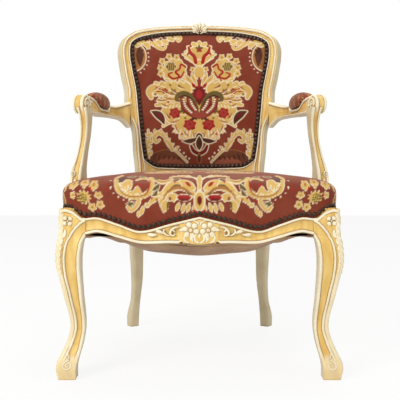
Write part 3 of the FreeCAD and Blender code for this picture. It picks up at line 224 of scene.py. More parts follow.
def back_point(u, v, w=0.0):
    """Points of the bowed, leaned back: u across it, v up it, w out of its front face."""
    u, v, w = np.broadcast_arrays(np.asarray(u, float), np.asarray(v, float), np.asarray(w, float))
    turn = u / BACK_RADIUS
    ahead = -BACK_RADIUS * (1 - np.cos(turn)) - w * np.cos(turn)
    y = BACK_DATUM_Y + ahead * math.cos(BACK_LEAN) + v * math.sin(BACK_LEAN)
    z = BACK_DATUM_Z + v * math.cos(BACK_LEAN) - ahead * math.sin(BACK_LEAN)
    return np.stack([(BACK_RADIUS - w) * np.sin(turn), y, z], axis=-1)


def edge_front(x):
    """Top of the moulded edge along the front."""
    corner = SEAT_HALF_FRONT - np.abs(x)
    return np.where(corner < FRONT_SHOULDER, smooth(EAR, corner), smooth(RAIL_TOPS, np.abs(x)))


def side_share(y):
    return (np.asarray(y, float) + SEAT_CORNER_FRONT - LEG_BLOCK) / (REAR_FACE + 14 - LEG_BLOCK
        + SEAT_CORNER_FRONT)


def edge_side(y):
    """Top of the moulded edge along the side."""
    corner = np.asarray(y, float) + SEAT_CORNER_FRONT
    return np.where(corner < LEG_BLOCK, smooth(EAR, corner), smooth(SIDE_TOPS, side_share(y)))


# Mouldings and carving

BEAD_OUT, BEAD_IN, QUIRK = 5.2, 6.2, 1.5


def moulding(outer, inner, cove=2.8, fade=1.0):
    """Depth and paint of the frame's moulding by the distance from its two edges: bead, gilded hollow,
    bead."""
    start, end = BEAD_OUT + QUIRK, BEAD_IN + QUIRK
    room = np.maximum(outer - start + inner - end, 1e-3)
    t = np.clip((outer - start) / room, 0, 1)
    depth = 1.0 + cove * np.sin(np.pi * t) ** 0.7
    paint = np.zeros(np.shape(outer) + (4,))
    paint[..., 3] = 1
    gold = np.clip((outer - BEAD_OUT) / 0.8, 0, 1) * np.clip((inner - BEAD_IN) / 0.8, 0, 1)
    paint[..., 0] = gold
    first = (outer > 0) & (outer < BEAD_OUT) & (inner > BEAD_IN)
    last = inner < BEAD_IN
    depth = np.where(first, -1.2 * np.sin(np.pi * np.clip(outer / BEAD_OUT, 0, 1)), depth)
    depth = np.where(last, -1.2 * np.sin(np.pi * np.clip(inner / BEAD_IN, 0, 1)), depth)
    line = np.maximum(np.exp(-((outer - BEAD_OUT - QUIRK / 2) / 0.9) ** 2),
        np.exp(-((inner - BEAD_IN - QUIRK / 2) / 0.9) ** 2))
    depth = depth + 0.7 * line
    paint[..., 1] = 0.85 * line * fade
    paint[..., 0] *= fade
    return depth * fade, paint


def carve(clay, chart, stations, paint=CREAM, parts=12, step=1.3, sink=0.0):
    """Raised carving: an ellipse swept on a surface along stations of (place, place, width, height)."""
    rows = refine(stations, step, [0, 1])
    path, normal = chart(rows[:, 0], rows[:, 1])
    path = path - normal * sink
    run = unit(np.gradient(path, axis=0))
    side = unit(np.cross(run, normal))
    turn = np.linspace(0, 2 * np.pi, parts, endpoint=False)
    width, height = np.maximum(rows[:, 2], 0.15) / 2, np.maximum(rows[:, 3], 0.15)
    ring = path[:, None] + side[:, None] * (width[:, None] * np.cos(turn))[..., None]
    ring = ring + normal[:, None] * (height[:, None] * np.sin(turn))[..., None]
    tone = np.zeros(ring.shape[:2] + (4,))
    tone[:] = paint
    tone[..., 1] = np.maximum(tone[..., 1], np.clip(0.25 - np.sin(turn), 0, 1) * 0.9)
    clay.loft(ring, tone)


def drop(clay, chart, a, b, width, height, bend=0.0, **more):
    """Leaf or petal from a to b, widest past its middle; bend bows it sideways."""
    a, b = np.array(a, float), np.array(b, float)
    side = np.array([-(b - a)[1], (b - a)[0]]) * bend
    stations = [(*(a + (b - a) * t + side * 4 * t * (1 - t)), width * s, height * h)
                for t, s, h in ((0, 0.15, 0.2), (0.12, 0.45, 0.6), (0.35, 0.8, 0.9), (0.62, 1, 1),
                    (0.85, 0.75, 0.8), (1, 0.1, 0.1))]
    carve(clay, chart, stations, **more)


def curl(clay, chart, centre, start, turns, size, width, height, paint=CREAM, squash=1.0):
    """Volute: a bead wound from its outer end at angle start (degrees) in to its eye."""
    a = np.radians(start) + np.linspace(0, 2 * np.pi * turns, 26)
    r = size * np.linspace(1, 0.16, 26)
    thick = np.linspace(1, 0.65, 26)
    stations = [(centre[0] + k * math.cos(q), centre[1] + squash * k * math.sin(q), width * t,
        height * t) for k, q, t in zip(r, a, thick)]
    carve(clay, chart, stations, paint, step=0.9)
    drop(clay, chart, (centre[0] - 0.2 * size, centre[1]), (centre[0] + 0.2 * size, centre[1]),
        0.42 * size, height * 1.2, paint=paint)


def flower(clay, chart, x, z, radius, petals, turn=0.0, height=4.0, eye=0.27):
    """Carved flower: round petals with a hollow down each, about a button."""
    angles = np.linspace(0, 2 * np.pi, 18 * petals, endpoint=False)
    rings = np.concatenate([np.linspace(0.03, eye, 5), np.linspace(eye + 0.03, 1, 12), [1.01, 0.96]])
    r, a = np.meshgrid(rings, angles, indexing="ij")
    lobe = np.abs(np.cos(petals * (a - turn) / 2))
    edge = radius * np.where(rings[:, None] > eye, 0.60 + 0.40 * lobe ** 0.6, 0.95)
    reach = np.clip((r - eye) / (1 - eye), 0, 1)
    lift = height * (0.25 + 0.75 * np.sin(np.pi * (0.12 + 0.80 * reach)) ** 0.8) * (0.25
        + 0.75 * lobe ** 0.5)
    lift = lift - 0.16 * height * np.exp(-((1 - lobe) / 0.02)) * np.sin(np.pi * reach)
    lift = np.where(r <= eye, height * (0.55 + 0.75 * np.sqrt(np.maximum(0,
        1 - (r / (eye * 1.02)) ** 2))), lift)
    lift[-2], lift[-1] = -0.5, -3.0
    place, normal = chart(x + edge * r * np.cos(a), z + edge * r * np.sin(a))
    tone = np.zeros(r.shape + (4,))
    tone[..., 3] = 1
    tone[..., 1] = 0.95 * np.exp(-((r - eye - 0.05) / 0.05) ** 2) + 0.8 * np.clip(1 - lobe * 3.2, 0, 1)
    tone[..., 0] = 0.55 * np.exp(-((reach - 0.15) / 0.22) ** 2)
    tone[-2:, :, 1] = 1
    clay.loft(place + normal * lift[..., None], np.clip(tone, 0, 1))


def dome_nails(name, node, height, material):
    """Round nail heads where the CAD's are, found as the separate solids of its mesh."""
    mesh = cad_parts[node].data
    points = np.empty(len(mesh.vertices) * 3)
    mesh.vertices.foreach_get("co", points)
    points = points.reshape(-1, 3) / MM - (0, SHIFT_Y, 0)
    key, back = np.unique(np.round(points, 2), axis=0, return_inverse=True)
    back = back.ravel()
    owner = np.arange(len(key))

    def root(k):
        while owner[k] != k:
            owner[k] = owner[owner[k]]
            k = owner[k]
        return k

    for polygon in mesh.polygons:
        first, *others = [root(back[k]) for k in polygon.vertices]
        for k in others:
            owner[root(k)] = root(first)
    groups = {}
    for k in range(len(key)):
        groups.setdefault(root(k), []).append(key[k])
    clay = Clay()
    turn = np.linspace(0, 2 * np.pi, 14, endpoint=False)
    profile = [(0.98, -0.8), (1.0, 0.0), (1.0, 0.35), (0.93, 0.62), (0.78, 0.84), (0.55, 0.96),
        (0.3, 1.0), (0.05, 1.02)]
    for corners in groups.values():
        corners = np.array(corners)
        middle = corners.mean(0)
        tip = corners[np.argmin(np.linalg.norm(corners - middle, axis=1))]
        rim = corners[np.linalg.norm(corners - tip, axis=1) > 0.1]
        base = rim.mean(0)
        normal = unit(tip - base)
        across = unit(rim[0] - base)
        along = np.cross(normal, across)
        radius = np.linalg.norm(rim - base, axis=1).mean() * 0.97
        rows = [base + normal * (height * h) + (across * np.cos(turn)[:, None]
            + along * np.sin(turn)[:, None]) * (radius * r)
                for r, h in profile]
        clay.loft(np.array(rows), CREAM)
    return clay.piece(name, material, "nail_bronze", (node,), crease=60)


# Materials

def new_material(name):
    material = bpy.data.materials.new(name)
    material.use_nodes = True
    nodes = material.node_tree.nodes
    nodes.clear()
    shader, output = nodes.new("ShaderNodeBsdfPrincipled"), nodes.new("ShaderNodeOutputMaterial")
    material.node_tree.links.new(shader.outputs["BSDF"], output.inputs["Surface"])
    return material, shader


class Graph:
    """Short hand for one material's nodes."""

    def __init__(self, name):
        self.material, self.shader = new_material(name)
        self.nodes, self.links = self.material.node_tree.nodes, self.material.node_tree.links
        self.place = self.nodes.new("ShaderNodeTexCoord").outputs["Object"]

    def put(self, value, socket):
        if isinstance(value, bpy.types.NodeSocket):
            self.links.new(value, socket)
        elif isinstance(value, tuple) and len(value) == 3 and len(socket.default_value) == 4:
            socket.default_value = (*value, 1)
        else:
            socket.default_value = value

    def noise(self, scale, detail=4.0, stretch=(1, 1, 1)):
        node, mapping = self.nodes.new("ShaderNodeTexNoise"), self.nodes.new("ShaderNodeMapping")
        mapping.inputs["Scale"].default_value = stretch
        self.links.new(self.place, mapping.inputs["Vector"])
        self.links.new(mapping.outputs["Vector"], node.inputs["Vector"])
        node.inputs["Scale"].default_value, node.inputs["Detail"].default_value = scale, detail
        return node.outputs["Fac"]

    def ramp(self, value, low, high, start=0.0, end=1.0):
        node = self.nodes.new("ShaderNodeMapRange")
        self.put(value, node.inputs["Value"])
        for key, number in (("From Min", low), ("From Max", high), ("To Min", start), ("To Max", end)):
            node.inputs[key].default_value = number
        return node.outputs["Result"]

    def math(self, operation, a, b=0.0):
        node = self.nodes.new("ShaderNodeMath")
        node.operation = operation
        self.put(a, node.inputs[0])
        self.put(b, node.inputs[1])
        return node.outputs[0]

    def mix(self, share, a, b, blend="MIX"):
        node = self.nodes.new("ShaderNodeMix")
        node.data_type, node.blend_type = "RGBA", blend
        for value, socket in ((share, node.inputs[0]), (a, node.inputs[6]), (b, node.inputs[7])):
            self.put(value, socket)
        return node.outputs[2]

    def layer(self, name):
        node, split = self.nodes.new("ShaderNodeAttribute"), self.nodes.new("ShaderNodeSeparateColor")
        node.attribute_name = name
        self.links.new(node.outputs["Color"], split.inputs["Color"])
        return node.outputs["Color"], split.outputs, node.outputs["Alpha"]

    def bump(self, value, strength, distance):
        node = self.nodes.new("ShaderNodeBump")
        node.inputs["Strength"].default_value, node.inputs["Distance"].default_value = strength, distance
        self.links.new(value, node.inputs["Height"])
        self.links.new(node.outputs["Normal"], self.shader.inputs["Normal"])


def paint_material():
    """Cream paint, washed gold in the hollows, brown patina in the quirks and crevices, and specks rubbed
    through to brown.
    """
    g = Graph("painted_beech")
    _, tone, _ = g.layer("tone")
    crevice = g.nodes.new("ShaderNodeAmbientOcclusion")
    crevice.samples = 8
    crevice.inputs["Distance"].default_value = 0.007
    shade = g.ramp(crevice.outputs["AO"], 0.72, 0.30)
    fine, broad = g.noise(260, 6), g.noise(16, 3)
    streak = g.noise(60, 5, (1, 1, 0.25))
    cream = g.mix(g.ramp(broad, 0.35, 0.7), srgb(240, 231, 203), srgb(229, 217, 182))
    gold = g.mix(g.ramp(streak, 0.32, 0.66), srgb(235, 203, 126), srgb(212, 171, 88))
    plain = g.mix(g.ramp(broad, 0.3, 0.7), srgb(214, 201, 168), srgb(196, 180, 143))
    colour = g.mix(tone["Red"], cream, gold)
    colour = g.mix(tone["Blue"], colour, plain)
    worn = g.math("MULTIPLY", shade, g.ramp(fine, 0.25, 0.6, 0.55, 1.0))
    colour = g.mix(g.math("MULTIPLY", worn, 0.75), colour, srgb(158, 102, 38))
    line = g.math("MULTIPLY", tone["Green"], g.ramp(fine, 0.2, 0.6, 0.65, 1.0))
    colour = g.mix(line, colour, srgb(136, 84, 30))
    speck = g.ramp(g.noise(520, 2), 0.70, 0.76)
    colour = g.mix(g.math("MULTIPLY", speck, 0.5), colour, srgb(150, 112, 60))
    g.put(colour, g.shader.inputs["Base Color"])
    g.put(g.ramp(fine, 0.3, 0.7, 0.40, 0.55), g.shader.inputs["Roughness"])
    g.shader.inputs["Specular IOR Level"].default_value = 0.4
    g.bump(g.math("ADD", g.math("MULTIPLY", fine, 0.5), streak), 0.25, 0.0004)
    return g.material


def velvet_material():
    """Figured velvet: pile on the ground, the woven figure lower, a pale bloom of painted sheen mixed into
    the colour in patches spread by noise, and the shader's own sheen where light grazes it.
    """
    g = Graph("velvet")
    colour, _, pile = g.layer("tone")
    painted_sheen_patches, fine = g.noise(22, 4), g.noise(900, 2)
    # Painted sheen: a pale pinkish tan mixed into the base colour in patches spread by noise
    lit = g.mix(g.ramp(painted_sheen_patches, 0.35, 0.75, 0.0, 0.2), colour, srgb(176, 104, 76), "MIX")
    lit = g.mix(g.ramp(fine, 0.3, 0.7, 0.0, 0.22), lit, (0.02, 0.008, 0.006))
    g.put(lit, g.shader.inputs["Base Color"])
    g.put(g.ramp(fine, 0.3, 0.7, 0.72, 0.9), g.shader.inputs["Roughness"])
    g.shader.inputs["Sheen Weight"].default_value = 0.28
    g.shader.inputs["Sheen Roughness"].default_value = 0.42
    g.shader.inputs["Sheen Tint"].default_value = (1.0, 0.72, 0.56, 1)
    g.shader.inputs["Specular IOR Level"].default_value = 0.15
    g.bump(g.math("ADD", g.math("MULTIPLY", pile, 1.6), g.math("MULTIPLY", fine, 0.5)), 0.6, 0.0007)
    return g.material


def cloth_material(name, light, dark, scale):
    """Plain weave: two crossed sets of threads over a mottled colour."""
    g = Graph(name)
    waves = []
    for direction in ("X", "Y"):
        node = g.nodes.new("ShaderNodeTexWave")
        node.bands_direction = direction
        node.inputs["Scale"].default_value, node.inputs["Distortion"].default_value = scale, 0.6
        g.links.new(g.place, node.inputs["Vector"])
        waves.append(node.outputs["Fac"])
    weave = g.math("MAXIMUM", *waves)
    colour = g.mix(g.ramp(g.noise(14, 5), 0.3, 0.7), light, dark)
    g.put(g.mix(g.ramp(weave, 0.2, 0.9, 0.35, 0.0), colour, tuple(0.5 * c for c in dark)),
        g.shader.inputs["Base Color"])
    g.put(g.ramp(weave, 0, 1, 0.95, 0.8), g.shader.inputs["Roughness"])
    g.shader.inputs["Sheen Weight"].default_value = 0.15
    g.bump(weave, 0.5, 0.0004)
    return g.material


def metal_material(name, light, dark, metallic, rough):
    g = Graph(name)
    spots = g.noise(160, 5)
    g.put(g.mix(g.ramp(spots, 0.35, 0.7), light, dark), g.shader.inputs["Base Color"])
    g.shader.inputs["Metallic"].default_value = metallic
    g.put(g.ramp(spots, 0.3, 0.7, rough, rough + 0.2), g.shader.inputs["Roughness"])
    g.bump(spots, 0.2, 0.0002)
    return g.material


def wood_material():
    """Bare beech of the hidden blocks."""
    g = Graph("bare_beech")
    grain = g.noise(40, 6, (8, 1, 1))
    g.put(g.mix(g.ramp(grain, 0.3, 0.7), srgb(196, 158, 112), srgb(160, 118, 76)),
        g.shader.inputs["Base Color"])
    g.put(g.ramp(grain, 0.3, 0.7, 0.6, 0.8), g.shader.inputs["Roughness"])
    g.bump(grain, 0.3, 0.0005)
    return g.material


paint, velvet = paint_material(), velvet_material()
canvas = cloth_material("canvas", srgb(186, 146, 106), srgb(150, 110, 76), 420)
jute = cloth_material("jute", srgb(178, 146, 98), srgb(140, 108, 66), 260)
bronze = metal_material("nail_bronze", srgb(74, 58, 46), srgb(44, 34, 28), 0.75, 0.34)
steel = metal_material("spring_steel", srgb(150, 120, 96), srgb(96, 78, 66), 0.9, 0.35)
beech = wood_material()


# Front legs

def edges_path():
    """Outer and inner edge of the moulding that sweeps from the rail down the leg, as (from the corner,
    height)."""
    outer = [(6 + 4.8, -5), (6 + 4.8, 60), (6.5 + 4, 118), (8 + 3.5, 160), (9 + 4, 190), (13.5, 225),
             (16.5, 262), (17, 278.4),
             (18.2, 297.8), (20.7, 312.8), (26, 328), (36, 342), (47.4, 353.5), (60, 361.2), (75, 364),
             (100, 364)]
    heights = np.array([-5, 30, 60, 90, 118, 150, 190, 230, 262, 287, 305])
    inner = [(s, z) for s, z in zip(smooth(LEG_SIZE, heights), heights)]
    inner += [(57.8, 315), (60.5, 322), (66, 327), (75, 330), (88, 331.5), (110, 331)]
    return outer, inner


LEG_OUTER, LEG_INNER = edges_path()


def leg_relief(p, z):
    """Depth and paint of the leg's front or outer face at p from its corner and height z."""
    points = np.column_stack([p.ravel(), z.ravel()])
    outer, inner = -beside(points, LEG_OUTER).reshape(p.shape), beside(points, LEG_INNER).reshape(p.shape)
    outer = -outer if outer[np.argmax(p)] < 0 else outer
    inner = np.abs(inner)
    fade = np.clip((z - 40) / 16, 0, 1)
    depth, paint_at = moulding(outer, inner, 2.6, fade)
    paint_at[..., 0] = np.maximum(paint_at[..., 0], 0.55 * (1 - fade))
    field = outer < 0
    arris = np.clip((7.5 - (p - 5)) / 2, 0, 1)
    depth = np.where(field, (1.1 - 1.3 * arris) * fade, depth)
    paint_at[..., 0] = np.where(field, (1 - 0.75 * arris) * fade + 0.55 * (1 - fade), paint_at[..., 0])
    rim = np.exp(-((outer + 0.9) / 0.9) ** 2) * fade
    paint_at[..., 1] = np.where(field, np.maximum(0.8 * rim, 0), paint_at[..., 1])
    arch = smooth(EAR, p) - z
    band = field & (arch < 8.5) & (z > 335)
    depth = np.where(band, -0.6 + 0.5 * np.clip((arch - 6.5) / 2, 0, 1), depth)
    paint_at[..., 0] = np.where(band, np.clip((arch - 7) / 1.2, 0, 1), paint_at[..., 0])
    paint_at[..., 1] = np.where(band, 0.8 * np.exp(-((arch - 8.3) / 0.8) ** 2), paint_at[..., 1])
    return depth, paint_at


def leg_chart(side):
    """Surface of the leg's front face, or of its outer face, by distance from the corner and height."""
    def chart(p, z):
        p, z = np.asarray(p, float), np.asarray(z, float)
        swing = smooth(LEG_SWING, z)
        out, front = SEAT_HALF_FRONT + swing, SEAT_CORNER_FRONT + swing
        if side:
            place, normal = np.stack([out, p - front, z], -1), (1.0, 0.0, 0.0)
        else:
            place, normal = np.stack([out - p, -front, z], -1), (0.0, -1.0, 0.0)
        return place, np.broadcast_to(normal, place.shape)
    return chart


def arris_chart(p, z):
    """Surface along the leg's corner between its two faces; p runs across it from the middle."""
    p, z = np.asarray(p, float), np.asarray(z, float)
    swing, size = smooth(LEG_SWING, z), smooth(LEG_SIZE, z)
    c = 0.06 * size
    place = np.stack([SEAT_HALF_FRONT + swing - c - p * 0.71, -SEAT_CORNER_FRONT - swing + c - p * 0.71,
        z], -1)
    return place, np.broadcast_to((math.sqrt(0.5), -math.sqrt(0.5), 0.0), place.shape)


def leg_ring(height, size, swing, climb, lift=0.0):
    """One ring up the leg; climb warps it from the arch level to the ear's edge."""
    out, front, c = SEAT_HALF_FRONT + swing, SEAT_CORNER_FRONT + swing, 0.12 * size
    p = c + (size - c) * np.linspace(0, 1, 58)
    z = height + climb * (smooth(EAR, p) - height)
    q, tone = leg_relief(p, z)
    flush = np.clip((p - 36) / 24, 0, 1) ** 2 * (3 - 2 * np.clip((p - 36) / 24, 0,
        1)) * np.clip((z - 285) / 30, 0, 1)
    q = q + 2.0 * flush if lift == 0 else np.full(len(p), lift)
    across = np.column_stack([out - p, -front + q, z])
    along = np.column_stack([out - q, -front + p, z])[::-1]
    t = np.linspace(0, 1, 6)[1:-1, None]
    arris = along[-1] * (1 - t) + across[0] * t + np.array([0.9, -0.9, 0]) * np.sin(np.pi * t) * (lift == 0)
    inner_z = height + climb * (RAIL_TOP - height)
    inner = np.array([(out - size + 0.3 * k, -front + size - 0.3 * (4 - k), inner_z) for k in (0, 4)])
    arris_tone = np.tile((0.25, 0, 0, 1), (4, 1))
    return np.vstack([arris, across, inner, along]), np.vstack([arris_tone, tone, [PLAIN, PLAIN],
        tone[::-1]])


def build_front_leg():
    clay = Clay()
    heights = np.concatenate([np.arange(0, ARCH_LEVEL, 2.4), [ARCH_LEVEL]])
    rings = [leg_ring(z, float(smooth(LEG_SIZE, z)), float(smooth(LEG_SWING, z)), 0) for z in heights]
    rings += [leg_ring(ARCH_LEVEL, 60.0, 1.0 - t, t) for t in np.linspace(0, 1, 30)[1:]]
    rings.append(leg_ring(ARCH_LEVEL, 60.0, 0.0, 1.0, 9.0))
    top = rings[-1][0].copy()
    top[:, 2] = RAIL_TOP
    rings.append((top, rings[-1][1]))
    rows, tones = np.array([r for r, _ in rings]), np.array([t for _, t in rings])
    low = rows[0].copy()
    clay.loft(np.concatenate([low[None] * (1, 1, 0) + (0, 0, 0), rows[1:]]), tones)
    for side in (False, True):
        chart = leg_chart(side)
        flower_at = (21, 356.5)
        for k in range(4):
            a = math.radians(90 * k + 40)
            drop(clay, chart, (flower_at[0] + 3 * math.cos(a), flower_at[1] + 3 * math.sin(a)),
                 (flower_at[0] + 12.5 * math.cos(a), flower_at[1] + 12.5 * math.sin(a)), 10.5, 3.2)
        drop(clay, chart, (flower_at[0] - 2, flower_at[1]), (flower_at[0] + 2.5, flower_at[1]), 5, 4)
        drop(clay, chart, (15, 338), (11, 318), 8.5, 2.6, 0.1)
        for k, z in enumerate((314, 299, 284, 270, 257, 245)):
            drop(clay, chart, (12.0 - k * 0.7, z + 3), (8.6 - k * 0.5, z - 11 + k * 0.5), 6.2 - 0.5 * k,
                2.2, 0.12)
        curl(clay, chart, (26, 33), 95, 1.6, 11.5, 3.6, 2.2)
        carve(clay, chart, [(24, 47, 2.4, 1.6), (16, 56, 3.0, 1.8), (11, 72, 2.6, 1.4), (10, 90, 1.0, 0.6)])
    for k in range(9):
        z = 352 - k * 13.5
        drop(clay, arris_chart, (1.5, z), (-1.5, z - 12), 7.5 - 0.5 * k, 2.4, 0.1)
    clay.pair("front_leg", paint, "painted_beech", "front_leg")


# Seat rails

def rail_rows(tops, lows, face, normal, count, centre=None):
    """Rings of a moulded rail. face gives points of its front, normal its outward direction, at each
    station."""
    share = np.linspace(0, 1, 58)
    slope = np.cos(np.arctan(np.gradient(tops, np.linalg.norm(np.gradient(face, axis=0), axis=1).cumsum())))
    rings, paints = [], []
    for k in range(count):
        z = lows[k] + (tops[k] - lows[k]) * share
        outer, inner = (tops[k] - z) * slope[k] + 0.3, z - lows[k] + 0.3
        depth, tone = moulding(outer, inner, 4.2)
        if centre is not None and centre[k] > 0:
            field = np.clip((outer - 6.0) / 1.5, 0, 1)
            depth = depth * (1 - centre[k] * field) + (0.6 - 1.2
                * np.sin(np.pi * np.clip(inner / 24, 0, 1))) * centre[k] * field
            tone = tone * (1 - centre[k] * field[:, None]) + np.array(GOLD) * centre[k] * field[:, None]
        depth[-1] = max(depth[-1], 0)
        outline = [(d, h) for d, h in zip(depth, z)]
        outline += [(REBATE + 0.4, tops[k] - 0.1), (REBATE + 0.4, RAIL_TOP), (18, RAIL_TOP),
                    (RAIL_THICKNESS, RAIL_TOP),
                    (RAIL_THICKNESS, 345), (RAIL_THICKNESS, lows[k] + 1), (20, lows[k] + 0.6),
                    (13, lows[k] + 0.5),
                    (8, lows[k] + 0.4), (4, lows[k] + 0.2)]
        d, h = np.array(outline).T
        ring = np.column_stack([face[k][0] - normal[k][0] * d, face[k][1] - normal[k][1] * d, h])
        rings.append(ring)
        paints.append(np.vstack([tone, np.tile(PLAIN, (len(ring) - len(tone), 1))]))
    return np.array(rings), np.array(paints)


def front_chart(x, z):
    x, z = np.asarray(x, float), np.asarray(z, float)
    y = -rail_front(x)
    slope = 2 * RAIL_BOW * x / (SEAT_HALF_FRONT - FRONT_SHOULDER) ** 2
    normal = unit(np.stack([slope, -np.ones_like(x), np.zeros_like(x)], -1))
    return np.stack([x, y, z], -1) - normal * 0.9, normal


def build_front_rail():
    clay = Clay()
    end = SEAT_HALF_FRONT - FRONT_SHOULDER + 0.8
    x = np.linspace(-end, end, 301)
    tops, lows = smooth(RAIL_TOPS, np.abs(x)), smooth(RAIL_LOWS, np.abs(x))
    lows = lows + 3.6 * np.exp(-((np.abs(x) - 40)
        / 4.5) ** 2) * (np.abs(x) > 36) + 1.5 * np.exp(-((np.abs(x) - 26) / 9) ** 2)
    face, normal = front_chart(x, np.zeros_like(x))
    face = face + normal * 0.9
    centre = np.clip((46 - np.abs(x)) / 6, 0, 1)
    rows, tones = rail_rows(tops, lows, face, normal, len(x), centre)
    clay.loft(rows, tones)
    for side in (-1, 1):
        def chart(a, b, side=side):
            return front_chart(side * np.asarray(a, float), b)
        flower(clay, chart, 19.6, 337.5, 18.6, 6, math.radians(12), 5.0)
        drop(clay, chart, (46, 337), (33, 339), 8, 3.6)
        carve(clay, chart, [(44, 345, 1.5, 1), (54, 343.5, 4.5, 3), (63, 337, 6, 3.6),
            (65, 328.5, 5, 3), (58, 325, 3, 2), (54, 329, 3.5, 2.4)])
        drop(clay, chart, (54, 333), (62, 340), 4.5, 2.8)
        carve(clay, chart, [(66, 325, 1.5, 1.5), (74, 327, 3.6, 2.6), (80, 334, 4.6, 3), (78, 340, 3, 2)])
        drop(clay, chart, (80, 329), (98, 334.5), 8, 3.6, 0.12)
        drop(clay, chart, (95, 328.5), (116, 329), 8.5, 3.4, -0.1)
        carve(clay, chart, [(2, 309, 4, 2.4), (9, 314, 5.5, 3.6), (11, 322, 5.5, 3.6), (7, 329, 3, 2)])
        carve(clay, chart, [(24, 309, 3, 2), (32, 314, 5.5, 3.4), (34, 322, 4.5, 3), (29, 327, 3, 2)])
        drop(clay, chart, (15, 311), (21, 322), 8.5, 4.2, 0.1)
        drop(clay, chart, (0.5, 346), (5, 357), 5, 2.6)
        drop(clay, chart, (-1.5 * 0, 318), (0.1, 330), 6, 3.5)
        carve(clay, chart, [(4, 352, 3, 1.5), (12, 359, 3, 1.6), (22, 358, 2.6, 1.4), (34, 353, 2, 1)])
    clay.piece("front_rail", paint, "painted_beech", ("front_rail",))


def build_side_rails():
    clay = Clay()
    front, back = LEG_BLOCK - SEAT_CORNER_FRONT, REAR_FACE + 4
    y = np.linspace(front, back, 200)
    t = np.clip(side_share(y), 0, 1)
    slope = np.gradient(side_face(y), y)
    normal = unit(np.stack([np.ones_like(y), -slope], -1))
    face = np.stack([side_face(y), y], -1)
    rows, tones = rail_rows(smooth(SIDE_TOPS, t), smooth(SIDE_LOWS, t), face, normal, len(y))
    clay.loft(rows, tones)
    clay.pair("side_rail", paint, "painted_beech", "side_rail")


# Back frame

def frame_profile(inner, outer, joined, level=0.0):
    """Anchors across the back's frame: (across, out, parts, bulge, paint) from its rebate to its outer
    edge."""
    edge = outer - MAIN_BEAD
    mix = tuple(a * (1 - joined) + b * joined for a, b in zip(CREAM, GOLD))
    dark = tuple(a * (1 - joined) + b * joined for a, b in zip(GROOVE, GOLD))
    rise = 1 - joined
    return [
        (inner - BACK_REBATE_WIDTH, -BACK_REBATE_DEPTH, 2, 0, PLAIN),
        (inner - 0.4, -BACK_REBATE_DEPTH, 1, 0, GROOVE),
        (inner, -1.0, 6, 1.5, CREAM), (inner + INNER_BEAD, -0.9, 2, -0.3, GROOVE),
        (inner + INNER_BEAD + 1.6, -1.9, 14, -2.2, GOLD), (edge - 1.6, -1.9 * rise - 0.4, 2,
            -0.3 * rise, dark),
        (edge, -0.6, 8, 1.9 * rise, mix), (outer - 3.0, -0.8, 1, 0, dark),
        (outer - 2.2, -1.6 * rise - 0.6, 3, 0.4, GOLD),
        (outer, -3, 5, 0, PLAIN), (outer, -BACK_THICKNESS + 3, 2, 0, PLAIN),
        (outer - 3, -BACK_THICKNESS, 5, 0, PLAIN),
        (inner - BACK_REBATE_WIDTH, -BACK_THICKNESS, 5, 0, PLAIN),
    ]


def spread(anchors):
    """Ring of (across, out) points and their paint from anchors."""
    points, paints = [], []
    for a, b in zip(anchors, anchors[1:] + anchors[:1]):
        for k in range(a[2]):
            t = k / a[2]
            points.append((a[0] + (b[0] - a[0]) * t, a[1] + (b[1] - a[1]) * t
                + a[3] * math.sin(math.pi * t)))
            paints.append(a[4])
    return np.array(points), np.array(paints, float)


def build_rear_legs():
    clay = Clay()
    turn = math.degrees(STILE_AT_SEAT / BACK_RADIUS) + 4
    lower = refine([(0, 195, 256, 27, turn + 8), (32, 194, 251, 28, turn + 8), (80, 186, 234, 23, turn + 6),
                    (145, 180, 214, 27, turn + 3), (235, 180, 196, 33, turn), (307, 178, 195, 38, turn),
                    (385, 173, 200, 36, turn)], 5, [0, 1, 2])
    rows, tones = [], []
    plain_anchor = [(-1, -0.76), (-0.76, -1), (-0.6, -1), (-0.3, -1), (-0.1, -1), (0.14, -1), (0.3, -1),
                    (0.5, -1), (0.62, -1),
                    (1, -0.76), (1, 0.76), (0.76, 1), (-1, 1)]
    counts = [a[2] for a in frame_profile(0, 60, 0)]
    for z, x, y, size, angle in lower:
        points, paints = spread([(p * size / 2, q * size / 2, n, 0, PLAIN)
            for (p, q), n in zip(plain_anchor, counts)])
        s, c = math.sin(math.radians(angle)), math.cos(math.radians(angle))
        p, q = points.T
        rows.append(np.column_stack([x + p * c + q * s, y - p * s + q * c, np.full(len(p), z)]))
        tones.append(paints)
    for v in np.concatenate([[45, 54], np.arange(60, CREST_JOINT, 2.6), [CREST_JOINT]]):
        joined = float(np.clip((v - 196) / 8, 0, 1) * np.clip((262 - v) / 8, 0, 1))
        points, paints = spread(frame_profile(float(smooth(STILE_INNER, v)),
            float(smooth(STILE_OUTER, v)), joined))
        rows.append(back_point(points[:, 0], v, points[:, 1]))
        tones.append(paints)
    clay.loft(np.array(rows), np.array(tones))
    clay.pair("rear_leg", paint, "painted_beech", "rear_leg")


def crest_line():
    """Inner and outer outline (u, v, u, v) of the crest rail's right half, from the joint to the middle."""
    joint = (float(smooth(STILE_INNER, CREST_JOINT)), CREST_JOINT,
        float(smooth(STILE_OUTER, CREST_JOINT)), CREST_JOINT)
    return refine([joint, (209.5, 388, 236, 389), (210, 405, 236, 408), (208, 421, 230, 430),
                   (203, 430, 221, 444),
                   (194, 438, 208, 455), (180, 447, 191, 466), (160, 455, 167, 475),
                   (128, 464.5, 133, 484), (95, 471, 98, 490),
                   (60, 475, 62, 494), (30, 477.3, 31, 496.3), (0, 478, 0, 497)], 2.6, [2, 3])


def back_chart(sink=0.0):
    def chart(u, v):
        place = back_point(u, v, 0.0)
        return place - 0.0, unit(back_point(u, v, 1.0) - place)
    return chart


